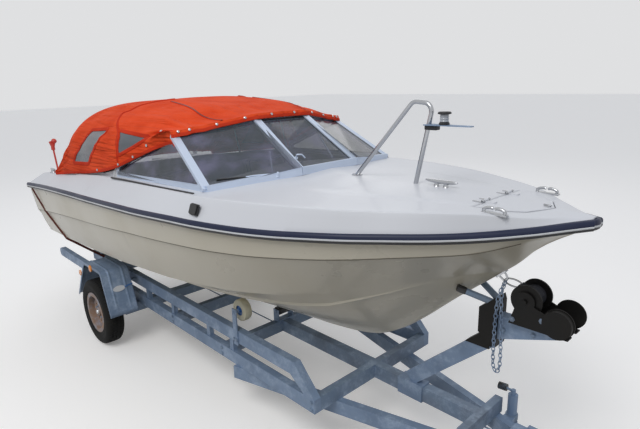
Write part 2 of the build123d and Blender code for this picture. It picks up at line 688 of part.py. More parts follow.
def engine_leg():
    """Midsection, plate, gearcase and skeg below the powerhead."""
    mid = Solid.make_loft([
        Wire.make_polygon([(STEER_X + dx, dy, z) for dx, dy in ring], close=True)
        for z, ring in (
            (COWL_LOW, [(-60, -85), (-60, 85), (-300, 85), (-340, 0), (-300, -85)]),
            (1112, [(-100, -40), (-100, 40), (-270, 62), (-310, 0), (-270, -62)]),
            (850, [(-100, -40), (-100, 40), (-235, 46), (-275, 0), (-235, -46)]),
            (PLATE_Z, [(-80, -34), (-80, 34), (-240, 26), (-270, 0), (-240, -26)]),
        )
    ], ruled=True)
    plate = plan_prism([(STEER_X - 30, -40), (STEER_X - 30, 40), (STEER_X - 250, 100), (STEER_X - 390, 90),
                        (STEER_X - 390, -90), (STEER_X - 250, -100)], (PLATE_Z - 12, PLATE_Z))
    strut = plan_prism([(STEER_X - 60, -12), (STEER_X - 60, 12), (STEER_X - 150, 30), (STEER_X - 250, 14),
                        (STEER_X - 250, -14), (STEER_X - 150, -30)], (PROP_Z, PLATE_Z))
    torpedo = lathe([(0, 0), (28, 30), (46, 90), (52, 160), (52, 240), (0, 240)],
                    (STEER_X - 20, 0, PROP_Z), (-1, 0, 0))
    skeg = side_prism([(STEER_X - 80, PROP_Z), (STEER_X - 110, 230), (STEER_X - 160, 190),
                       (STEER_X - 225, 190), (STEER_X - 235, PROP_Z)], (-6, 6))
    shaft = rod((STEER_X - 250, 0, PROP_Z), (STEER_X - 352, 0, PROP_Z), 9)
    return mid + plate + strut + torpedo + skeg + shaft


def engine_cowl():
    """Powerhead cowl, a tapered shell drawn solid."""
    rings = (
        (COWL_LOW, [(30, -120), (30, 120), (-60, 165), (-330, 160), (-400, 90), (-400, -90), (-330, -160), (-60, -165)]),
        (1330, [(44, -130), (44, 130), (-60, 178), (-350, 170), (-430, 95), (-430, -95), (-350, -170), (-60, -178)]),
        (1490, [(40, -118), (40, 118), (-60, 165), (-340, 155), (-410, 85), (-410, -85), (-340, -155), (-60, -165)]),
        (COWL_TOP, [(10, -80), (10, 80), (-70, 120), (-300, 112), (-350, 60), (-350, -60), (-300, -112), (-70, -120)]),
    )
    wires = [Wire.make_polygon([(STEER_X + dx, dy, z) for dx, dy in ring], close=True) for z, ring in rings]
    return Solid.make_loft(wires, ruled=True)


def propeller():
    """Three-bladed propeller on its hub."""
    front = STEER_X - 266
    hub = rod((front, 0, PROP_Z), (front - 80, 0, PROP_Z), 36)
    blades = hub
    for k in range(3):
        blade = Solid.make_loft([
            Wire.make_polygon([(30, -26, 26), (34, -22, 26), (-26, 30, 26), (-30, 26, 26)], close=True),
            Wire.make_polygon([(26, -64, 90), (30, -60, 90), (-18, 62, 90), (-22, 58, 90)], close=True),
            Wire.make_polygon([(12, -34, PROP_R), (14, -32, PROP_R), (-8, 32, PROP_R), (-10, 30, PROP_R)], close=True),
        ], ruled=True)
        blades = blades + Pos(front - 42, 0, PROP_Z) * Rot(120 * k, 0, 0) * blade
    return blades - rod((front + 1, 0, PROP_Z), (front - 90, 0, PROP_Z), 9 + HUB_GAP)


def make_frame():
    """Trailer frame: ladder sides, cross-beams, centre beam and drawbar."""
    in_y = FRAME_HALF - BEAM_W
    low, top = FRAME_TOP - BEAM_H, FRAME_TOP
    lower = span((FRAME_REAR, 0), (in_y, FRAME_HALF), (low, top))
    upper = span((FRAME_REAR, UPPER_FRONT), (in_y, FRAME_HALF), (UPPER_TOP - BEAM_H, UPPER_TOP))
    slant = [(UPPER_FRONT, UPPER_TOP), (0, top), (SLANT_FOOT, top), (UPPER_FRONT - 40, UPPER_TOP - BEAM_H)]
    upper = upper + side_prism(slant, (in_y, FRAME_HALF))
    uprights = []
    for x in UPRIGHTS:
        upright = span((x - 20, x + 20), (in_y + 8, FRAME_HALF - 8), (top, UPPER_TOP - BEAM_H))
        uprights += port_and_starboard(upright)
    written("lower_rails", *port_and_starboard(lower))
    written("upper_rails", *port_and_starboard(upper))
    written("rail_uprights", *uprights)
    half = BEAM_W / 2
    beams = [span((-BEAM_W, 0), (-in_y, in_y), (low, top))]
    beams += [span((x - half, x + half), (-in_y, in_y), (low, top)) for x in CROSS_BEAMS]
    beams.append(span((NOSE_PIECE_X, NOSE_PIECE_X + NOSE_PIECE_W), (-NOSE_PIECE_HALF, NOSE_PIECE_HALF), (low, top)))
    written("cross_beams", *beams)
    middle = [(CROSS_BEAMS[0] + half, -BEAM_W), (0, NOSE_PIECE_X)]
    written("centre_beam", *[span(x, (-CENTRE_HALF, CENTRE_HALF), (low, top)) for x in middle])
    bars = []
    low = FRAME_TOP - 2 * BEAM_H
    for side in (-1, 1):
        plan = [
            (BAR_REAR, side * (BAR_HALF - BAR_SLOPE * BAR_REAR)),
            (COUPLER_X - 250, side * (BAR_HALF - BAR_SLOPE * (COUPLER_X - 250))),
            (COUPLER_X - 250, side * (BAR_HALF - BAR_SLOPE * (COUPLER_X - 250) + BEAM_W)),
            (BAR_REAR, side * (BAR_HALF - BAR_SLOPE * BAR_REAR + BEAM_W)),
        ]
        bars.append(plan_prism(plan, (low, FRAME_TOP - BEAM_H)))
    written("drawbar", *bars)


def make_coupling():
    """Overrun coupling: housing between the drawbar arms, draw tube, head and brake lever."""
    z = FRAME_TOP - 1.5 * BEAM_H
    end = COUPLER_X - 250
    half = BAR_HALF - BAR_SLOPE * end
    housing = plan_prism([(850, -70), (end, -half), (COUPLER_X, -50), (COUPLER_X, 50), (end, half), (850, 70)],
                         (z + BEAM_H / 2, z + BEAM_H / 2 + 10))
    housing = housing + span((900, COUPLER_X), (-50, 50), (z + BEAM_H / 2, z + BEAM_H / 2 + 90))
    housing = housing + rod((COUPLER_X, 0, z + 90), (COUPLER_X + 90, 0, z + 90), 42)
    housing = housing + rod((COUPLER_X + 90, 0, z + 90), (BALL_X - 60, 0, z + 90), 30)
    head = span((BALL_X - 90, BALL_X + 20), (-38, 38), (z + 50, z + 125))
    head = head + rod((BALL_X + 15, 0, z + 50), (BALL_X + 15, 0, z + 125), 38) + rod(
        (BALL_X, 0, z + 125), (BALL_X - 110, 0, z + 158), 12)
    head = head + Pos(BALL_X + HEAD_AHEAD, 0, z + 90) * Cylinder(HEAD_R, 40)
    coupling = housing + head - Pos(BALL_X, 0, z + 72) * Sphere(BALL_R + 0.5)
    coupling = coupling - rod((BALL_X, 0, z + 30), (BALL_X, 0, z + 72), BALL_R + 0.5)
    lever = beam((980, 62, z + 120), (1190, 62, z + 150), 14, 26) + rod((1190, 48, z + 150), (1190, 76, z + 150), 20)
    written("coupling", coupling + lever + span((960, 1010), (45, 72), (z + 100, z + 140)))


def make_running_gear():
    """Torsion axle, wheels and mudguards."""
    low = FRAME_TOP - BEAM_H
    half = TORSION_H / 2
    axle = span((TORSION_X - half, TORSION_X + half), (-ARM_BOSS_OUT, ARM_BOSS_OUT), (low - TORSION_H, low))
    for side in (-1, 1):
        ends = [(AXLE_X, side * y, TYRE_R) for y in (ARM_BOSS_IN, ARM_BOSS_OUT, TRACK_HALF + HUB_R)]
        arm = beam((TORSION_X, side * ARM_Y, low - half), (AXLE_X, side * ARM_Y, TYRE_R), 30, 60)
        axle = axle + arm + rod(ends[0], ends[1], ARM_BOSS_R) + rod(ends[1], ends[2], STUB_R)
    written("axle", axle)
    guards = []
    for name, side in (("starboard", -1), ("port", 1)):
        centre = (AXLE_X, side * TRACK_HALF, TYRE_R)
        rim = [(STUB_R + HUB_GAP, -110), (HUB_R, -110), (HUB_R, 8), (120, 20), (130, -10), (150, -14), (150, -68),
               (RIM_R + 12, -68), (RIM_R + 12, -62), (156, -60), (156, 60), (RIM_R + 12, 62), (RIM_R + 12, 68),
               (146, 68), (146, -6), (132, 0), (118, 28), (HUB_R, 18), (HUB_R - 6, 46), (STUB_R + HUB_GAP, 46)]
        turned = lathe(rim, centre, (0, side, 0))
        for k in range(12):
            turn = math.radians(30 * k)
            at = (AXLE_X + 92 * math.cos(turn), side * TRACK_HALF, TYRE_R + 92 * math.sin(turn))
            turned = turned - Plane(origin=at, z_dir=(0, 1, 0)) * Cylinder(11, 90)
        written(f"rim_{name}", turned)
        tyre = [(156, -56), (178, -62), (215, -76), (245, -TYRE_W / 2), (272, -70), (284, -58), (TYRE_R, -40),
                (TYRE_R, 40), (284, 58), (272, 70), (245, TYRE_W / 2), (215, 76), (178, 62), (156, 56)]
        written(f"tyre_{name}", lathe(tyre, centre, (0, side, 0)))
        outer = side_prism(GUARD, (side * GUARD_IN, side * GUARD_OUT))
        under = [(GUARD[0][0] + 6, GUARD[0][1] - 20), (GUARD[1][0] + 3, GUARD[1][1] - GUARD_SKIN),
                 (GUARD[2][0] - 3, GUARD[2][1] - GUARD_SKIN), (GUARD[3][0] - 5, GUARD[3][1] - 20)]
        guard = outer - side_prism(under, (side * (GUARD_IN - 5), side * (GUARD_OUT + 5)))
        inside = [(GUARD[0][0] + 32, GUARD[0][1] - 20), (GUARD[1][0] + 14, GUARD[1][1] - GUARD_LIP),
                  (GUARD[2][0] - 16, GUARD[2][1] - GUARD_LIP), (GUARD[3][0] - 30, GUARD[3][1] - 20)]
        lip = side_prism(GUARD, (side * (GUARD_OUT - 3), side * GUARD_OUT))
        guard = guard + (lip - side_prism(inside, (side * (GUARD_OUT - 8), side * (GUARD_OUT + 5))))
        for x in (-2560, -2280):
            guard = guard + span((x - 20, x + 20), (side * FRAME_HALF, side * (GUARD_IN + 3)), (560, 590))
            guard = guard + span((x - 20, x + 20), (side * (GUARD_IN), side * (GUARD_IN + 4)), (560, 713))
        guards.append(guard)
    written("mudguards", *guards)


def make_hull_supports(hull):
    """Keel roller cradles, side roller arms and the rollers."""
    cradles = []
    rollers = []
    for x in (CROSS_BEAMS[0], CROSS_BEAMS[2]):
        z = station_at(x).keel - KEEL_ROLLER_R + KEEL_BITE
        half = KEEL_ROLLER_HALF
        roller = rod((x, -half, z), (x, half, z), KEEL_ROLLER_R) - rod((x, -half - 10, z), (x, half + 10, z), KEEL_PIN)
        rollers.append(largest(roller - hull))
        cheek = span((x - 30, x + 30), (half + 6, half + 12), (FRAME_TOP, z + 16))
        foot = span((x - 30, x + 30), (-half - 12, half + 12), (FRAME_TOP, FRAME_TOP + 6))
        cradles.append(foot + cheek + cheek.mirror(Plane.XZ) + rod((x, -half - 20, z), (x, half + 20, z), KEEL_PIN))
    written("keel_rollers", *rollers)
    arms = []
    for name, x, y in SIDE_ROLLERS:
        z = bottom_at(x - 30, y - ROLLER_W / 2) - ROLLER_CLEAR - ROLLER_R
        for word, side in (("starboard", -1), ("port", 1)):
            plate = (side * FRAME_HALF, side * (FRAME_HALF + ROLLER_PLATE))
            post = span((x - 22, x + 22), plate, (500, z + 25))
            pin_end = side * (FRAME_HALF + ROLLER_PLATE + 5)
            post = post + rod((x, side * (y - ROLLER_W / 2 - 5), z), (x, pin_end, z), ROLLER_BORE)
            arms.append(post)
            wheel = rod((x, side * (y - ROLLER_W / 2), z), (x, side * (y + ROLLER_W / 2), z), ROLLER_R)
            wheel = wheel - rod((x, side * (y - ROLLER_W), z), (x, side * (y + ROLLER_W), z), ROLLER_BORE + HUB_GAP)
            written(f"side_roller_{name}_{word}", wheel)
    written("hull_supports", *cradles, *arms)


def make_winch_stand(hull):
    """Winch post with head box, bow stop, winch arm, frame and drum."""
    sleeve = span((190, 365), (-40, 40), (FRAME_TOP - BEAM_H - 8, FRAME_TOP + 8)) - span(
        (180, 375), (-CENTRE_HALF, CENTRE_HALF), (FRAME_TOP - BEAM_H, FRAME_TOP))
    start, end = Vector(265, 0, 445), Vector(735, 0, 870)
    up = (end - start).normalized()
    post = beam(start, end + up * 40, 50, 84) & span((150, 800), (-60, 60), (FRAME_TOP + 4, 1200))
    head = side_prism([(705, 925), (705, 1060), (790, 1130), (800, 1100), (800, 862), (775, 862)], (-52, 52))
    boot = beam(start + up * 505, start + up * 660, 58, 92) & span((600, 760), (-60, 60), (830, 1000))
    written("winch_post", sleeve + largest(post - head))
    written("winch_head", head + (boot - post))
    stops = []
    for side in (-1, 1):
        stop = rod((762, side * 30, 1096), (606, side * 100, 1150), BOW_STOP_R)
        stops.append(largest(stop - head - hull))
    written("bow_stop", *stops)
    arm = side_prism([(800, 905), (800, 1036 - SEAT), (1130, 1036 - SEAT), (1130, 1018)], (-30, 30))
    written("winch_arm", arm)
    cheek = side_prism([(872, 1036), (905, 1150), (990, 1150), (1060, 1120), (1060, 1036)], (66, 72))
    for disc in WINCH_DISCS:
        cheek = cheek + rod((disc.x, 66, disc.z), (disc.x, 72, disc.z), disc.radius)
    frame = cheek + cheek.mirror(Plane.XZ) + rod((1060, -72, 1075), (1060, 72, 1075), 9)
    for side in (-1, 1):
        frame = frame + span((872, 1150), (side * 26, side * 72), (1036, 1042))
    gear = WINCH_DISCS[1]
    frame = frame + rod((gear.x, -98, gear.z), (gear.x, -72, gear.z), gear.radius - 4)
    frame = frame - rod((DRUM_X, -80, DRUM_Z), (DRUM_X, 80, DRUM_Z), DRUM_SHAFT + HUB_GAP)
    frame = frame - span((780, 1200), (-200, 200), (900, 1036))
    written("winch_frame", frame)
    drum = rod((DRUM_X, -58, DRUM_Z), (DRUM_X, 58, DRUM_Z), 34)
    for y in (-60, 52):
        drum = drum + rod((DRUM_X, y, DRUM_Z), (DRUM_X, y + 8, DRUM_Z), DRUM_FLANGE)
    drum = drum + rod((DRUM_X, -84, DRUM_Z), (DRUM_X, 84, DRUM_Z), DRUM_SHAFT)
    written("winch_drum", drum)


def make_jockey_wheel():
    """Jockey wheel: clamped tube, swivelling fork and wheel."""
    x, y = JOCKEY_X, JOCKEY_Y
    face = [(at, BAR_HALF - BAR_SLOPE * at + BEAM_W) for at in (x - 30, x + 30)]
    clamp = plan_prism(face + [(x + 30, y - 24), (x - 30, y - 24)],
                       (FRAME_TOP - 2 * BEAM_H + 10, FRAME_TOP - BEAM_H - 10))
    tube = rod((x, y, 215), (x, y, JOCKEY_TOP), 27) + clamp
    tube = tube + rod((x, y, JOCKEY_TOP), (x, y, JOCKEY_TOP + 30), 13)
    tube = tube + rod((x, y, JOCKEY_TOP + 20), (x - 60, y, JOCKEY_TOP + 26), 7)
    tube = tube + rod((x - 84, y, JOCKEY_TOP + 22), (x - 42, y, JOCKEY_TOP + 26), 19)
    tube = tube - rod((x, y, 210), (x, y, 300), 24 + HUB_GAP)
    written("jockey_tube", tube)
    fork = rod((x, y, 205), (x, y, 299), 24) + span((x - 50, x + 30), (y - 38, y + 38), (203, 211))
    for side in (-1, 1):
        fork = fork + side_prism([(x - 10, 211), (x + 20, 203), (x - 25, 90), (x - 55, 90)],
                                 (y + side * 32, y + side * 38))
    fork = fork + rod((x - 40, y - 38, 98), (x - 40, y + 38, 98), 8)
    written("jockey_fork", fork)
    wheel = rod((x - 40, y - 25, 98), (x - 40, y + 25, 98), 98) - rod((x - 40, y - 40, 98), (x - 40, y + 40, 98), 8 + HUB_GAP)
    written("jockey_roller", wheel)


def make_trailer_rear():
    """Lamp arms behind the mudguards, side reflectors and brake rod."""
    guard = side_prism(GUARD, (-GUARD_OUT - 5, GUARD_OUT + 5))
    arms = []
    reflectors = []
    middle = (LAMP_ARM_TOP + LAMP_ARM_LOW) / 2
    for side in (-1, 1):
        near, far = side * LAMP_ARM_IN, side * LAMP_ARM_OUT
        arm = span((LAMP_ARM_REAR, GUARD[1][0] + 10), (near, far), (LAMP_ARM_LOW, LAMP_ARM_TOP))
        arm = arm + rod((LAMP_ARM_REAR, near, middle), (LAMP_ARM_REAR, far, middle), LAMP_ARM_TOP - middle)
        arms.append(arm - guard)
        for spot in REFLECTORS:
            reflectors.append(rod((spot.x, side * GUARD_OUT, spot.z), (spot.x, side * (GUARD_OUT + 8), spot.z), spot.radius))
    written("lamp_arms", *arms)
    written("side_reflectors", *reflectors)
    rod_z = FRAME_TOP - BEAM_H - 20
    written("brake_rod", rod((TORSION_X + 40, 40, rod_z), (860, 40, rod_z), 5))


def make_stern_fittings(hull, deck, rail):
    """Deck staff with its two-lobed head and the tie-down straps over the stern quarters."""
    foot = Vector(STAFF_X, STAFF_Y, deck_top(STAFF_X, STAFF_Y))
    head = Vector(STAFF_X - 25, STAFF_Y - 8, STAFF_TOP)
    staff = rod(foot, head, 8) + rod(foot, foot + Vector(0, 0, 12), STAFF_FLANGE)
    staff = staff + rod(head - Vector(0, 0, 20), head + Vector(0, 0, 45), 17)
    for lean in (-1, 1):
        staff = staff + Pos(head.X, head.Y + lean * 17, head.Z + 62) * Sphere(24)
        staff = staff + rod(head + Vector(0, 0, 10), (head.X, head.Y + lean * 17, head.Z + 62), 15)
    written("deck_staff", largest(staff - deck))
    straps = []
    trailer_side = span((FRAME_REAR, UPPER_FRONT), (-FRAME_HALF, FRAME_HALF), (FRAME_TOP, UPPER_TOP))
    for side in (-1, 1):
        route = [Vector(x, side * y, z) for x, y, z in STRAP_ROUTE]
        strap = beam(route[0], route[1], 3, 22)
        for start, end in zip(route[1:], route[2:]):
            strap = strap + beam(start, end, 3, 22)
        for knee in route[1:-1]:
            strap = strap + Pos(knee.X, knee.Y, knee.Z) * Rot(0, 25, 0) * Box(18, 5, 6)
        straps.append(largest(strap - hull - deck - rail - trailer_side))
    written("tie_down_straps", *straps)


os.makedirs("parts", exist_ok=True)
HULL, DECK, MOULDING = make_boat_shells()
make_locker_lid(MOULDING)
RAIL = make_rub_rail()
SCREEN_FRAME, SCREEN_PANES = make_windscreen(DECK)
make_hood(SCREEN_FRAME, SCREEN_PANES, DECK)
make_hood_bows(DECK)
make_bow_fittings(HULL, DECK)
make_interior()
make_outboard()
make_frame()
make_coupling()
make_running_gear()
make_hull_supports(HULL)
make_winch_stand(HULL)
make_jockey_wheel()
make_trailer_rear()
make_stern_fittings(HULL, DECK, RAIL)
print(len(WRITTEN), "nodes written")
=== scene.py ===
"""Looks of a speedboat on its trailer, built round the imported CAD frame."""

import bmesh
import bpy
import logging
import math
from dataclasses import dataclass
from enum import Enum

import numpy as np
from mathutils import Matrix, Vector


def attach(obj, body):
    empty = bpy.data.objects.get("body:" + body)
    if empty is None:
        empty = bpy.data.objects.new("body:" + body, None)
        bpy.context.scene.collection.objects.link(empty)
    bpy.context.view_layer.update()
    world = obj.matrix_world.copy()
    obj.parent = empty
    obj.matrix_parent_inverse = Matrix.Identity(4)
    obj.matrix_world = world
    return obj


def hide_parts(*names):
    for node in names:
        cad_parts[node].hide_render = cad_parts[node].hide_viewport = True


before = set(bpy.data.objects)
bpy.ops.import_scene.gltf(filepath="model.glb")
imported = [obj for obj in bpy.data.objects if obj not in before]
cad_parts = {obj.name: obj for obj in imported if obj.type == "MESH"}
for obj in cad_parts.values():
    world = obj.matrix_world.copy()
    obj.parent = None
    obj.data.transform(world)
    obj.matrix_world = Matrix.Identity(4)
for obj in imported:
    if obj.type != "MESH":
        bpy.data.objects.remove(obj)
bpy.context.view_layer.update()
LOG = logging.getLogger("speedboat")
Socket = bpy.types.NodeSocket
Array = np.ndarray
Pair = tuple[Array, Array]
# The four corners of a square, as signs
QUARTERS = ((-1, -1), (1, -1), (1, 1), (-1, 1))

# Station coordinates run from the front face of the trailer's front cross-beam, in metres
MIDDLE = -1.2915
ROOT = "boat_and_trailer"

# Table of offsets, as in the CAD source; its columns are named in COLUMNS
OFFSETS = np.array([
    (-3600, 530, 820, 808, 905, 1035, 945, 1307, 800, 1385, 1395),
    (-3000, 530, 832, 835, 935, 1105, 972, 1360, 828, 1437, 1450),
    (-2400, 530, 836, 866, 950, 1160, 987, 1396, 848, 1508, 1525),
    (-1800, 530, 840, 906, 960, 1208, 998, 1425, 862, 1558, 1575),
    (-1200, 532, 838, 960, 960, 1262, 1000, 1455, 875, 1580, 1615),
    (-600, 543, 765, 1008, 922, 1303, 964, 1482, 880, 1595, 1664),
    (-200, 580, 637, 1044, 842, 1328, 882, 1489, 819, 1606, 1634),
    (0, 625, 548, 1076, 778, 1345, 818, 1495, 760, 1610, 1622),
    (200, 733, 437, 1117, 695, 1363, 736, 1505, 690, 1613, 1625),
    (350, 852, 346, 1152, 620, 1380, 662, 1512, 620, 1615, 1628),
    (500, 988, 242, 1196, 533, 1399, 577, 1521, 533, 1617, 1629),
    (650, 1124, 126, 1234, 436, 1416, 479, 1528, 443, 1620, 1626),
    (780, 1240, 24, 1256, 340, 1432, 384, 1537, 357, 1620, 1624),
    (1000, 1445, 12, 1453, 140, 1500, 200, 1564, 178, 1603, 1616),
    (1120, 1522, 6, 1526, 55, 1548, 86, 1585, 62, 1600, 1612),
    (1185, 1560, 2, 1562, 12, 1567, 21, 1595, 14, 1604, 1607),
], dtype=float) / 1000.0
COLUMNS = ("x", "keel", "chine_y", "chine_z", "knuckle_y", "knuckle_z", "rail_y", "rail_z", "crease_y",
           "crease_z", "crown")


class Body(Enum):
    """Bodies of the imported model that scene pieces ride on."""

    OUTFIT = ROOT
    ENGINE = "engine"
    LID = "locker_lid"
    WHEEL_STARBOARD = "wheel_starboard"
    WHEEL_PORT = "wheel_port"
    DRUM = "winch_drum"
    JOCKEY_ROLLER = "jockey_roller"
    ROLLER_FORE_STARBOARD = "side_roller_fore_starboard"
    ROLLER_FORE_PORT = "side_roller_fore_port"
    ROLLER_AFT_STARBOARD = "side_roller_aft_starboard"
    ROLLER_AFT_PORT = "side_roller_aft_port"


def pchip(x: Array, y: Array, at: Array) -> Array:
    """Smooth curve through points that never overshoots them.

    Formula: a cubic between each two points whose end slopes are the weighted harmonic
    mean of the neighbouring chords' slopes, or zero where those change sign.

    Args:
        x: Rising abscissae.
        y: Values at x.
        at: Where the curve is wanted.

    Returns:
        The curve's values at those places.
    """
    h = np.diff(x)
    chord = np.diff(y) / h
    left, right = chord[:-1], chord[1:]
    w1, w2 = 2 * h[1:] + h[:-1], h[1:] + 2 * h[:-1]
    same = left * right > 0
    safe_left, safe_right = np.where(same, left, 1.0), np.where(same, right, 1.0)
    inner = np.where(same, (w1 + w2) / (w1 / safe_left + w2 / safe_right), 0.0)
    slope = np.concatenate([[chord[0]], inner, [chord[-1]]])
    k = np.clip(np.searchsorted(x, at) - 1, 0, len(h) - 1)
    t = (at - x[k]) / h[k]
    start, end = (t**3 - 2 * t**2 + t) * h[k] * slope[k], (t**3 - t**2) * h[k] * slope[k + 1]
    return (2 * t**3 - 3 * t**2 + 1) * y[k] + start + (3 * t**2 - 2 * t**3) * y[k + 1] + end


def stations(x: Array) -> dict[str, Array]:
    """The table of offsets, smoothed, at any stations.

    Args:
        x: Stations in metres.

    Returns:
        One array for each column of the table.
    """
    known = OFFSETS[:, 0]
    return {name: pchip(known, OFFSETS[:, k], x) for k, name in enumerate(COLUMNS)}


def unit(vectors: Array) -> Array:
    """Vectors brought to length one along the last axis."""
    return vectors / np.linalg.norm(vectors, axis=-1, keepdims=True)


def circle(count: int) -> Array:
    """Angles of that many even steps round a full turn."""
    return np.linspace(0, 2 * math.pi, count, endpoint=False)


def straight(start: Array, end: Array, count: int) -> Array:
    """Evenly spaced points from start to end."""
    return start + (end - start) * np.linspace(0, 1, count)[:, None]


def grid_of(*coordinates: Array) -> Array:
    """Points from x, y and z arrays that broadcast to one grid."""
    return np.stack(np.broadcast_arrays(*coordinates), axis=-1)


def lengths(path: Array) -> Array:
    """Distance gone along a path at each of its points."""
    return np.concatenate([[0], np.cumsum(np.linalg.norm(np.diff(path, axis=0), axis=1))])


def bend(first: Array, corner: Array, last: Array, t: Array) -> Array:
    """Points of a quadratic curve from first to last that leans to the corner, t from 0 to 1."""
    return first * (1 - t) ** 2 + 2 * corner * t * (1 - t) + last * t**2


def mirrored(half: list) -> list:
    """A closed profile: the given points, their mirror images in height, and the first again."""
    return half + [(r, -h) for r, h in reversed(half) if h] + half[:1]


def rounded(corners: tuple, radius: float) -> Array:
    """Outline of a polygon with round corners.

    Formula: each corner is a quadratic curve between points one radius away along its two
    edges; the edges between are straight.

    Args:
        corners: The polygon's corners.
        radius: How far from each corner the rounding starts.

    Returns:
        Points round the outline, the first not repeated.
    """
    c = np.array(corners, float)
    back, ahead = np.roll(c, 1, axis=0) - c, np.roll(c, -1, axis=0) - c
    a, b = ((c + unit(way) * radius)[:, None] for way in (back, ahead))
    arc = bend(a, c[:, None], b, np.linspace(0, 1, 7)[None, :, None])
    s = np.linspace(0, 1, 22)[None, 1:-1, None]
    run = b + (np.roll(a, -1, axis=0) - b) * s
    return np.concatenate([arc, run], axis=1).reshape(-1, c.shape[1])


def smooth_path(points: tuple, step: float) -> Array:
    """A smooth curve through points, one sample a step.

    Formula: each coordinate is a monotone cubic of the distance along the chords.

    Args:
        points: Points that the curve goes through.
        step: Distance between samples.

    Returns:
        Points along the curve.
    """
    known = np.array(points, float)
    along = lengths(known)
    at = np.linspace(0, along[-1], max(int(along[-1] / step), 2) + 1)
    return np.stack([pchip(along, known[:, k], at) for k in range(known.shape[1])], axis=1)


@dataclass
class Patch:
    """A surface on a grid of two parameters, in station coordinates."""

    points: Array
    material: int = 0
    closed: bool = False
    keep: Array | None = None

    def faces(self) -> Array:
        """Quads of the grid as four indices each, the second parameter running fastest."""
        n, m = self.points.shape[:2]
        index = np.arange(n * m).reshape(n, m)
        if self.closed:
            index = np.concatenate([index, index[:, :1]], axis=1)
        quads = np.stack(
            [index[:-1, :-1], index[1:, :-1], index[1:, 1:], index[:-1, 1:]], axis=-1).reshape(-1, 4)
        return quads if self.keep is None else quads[self.keep.ravel()]


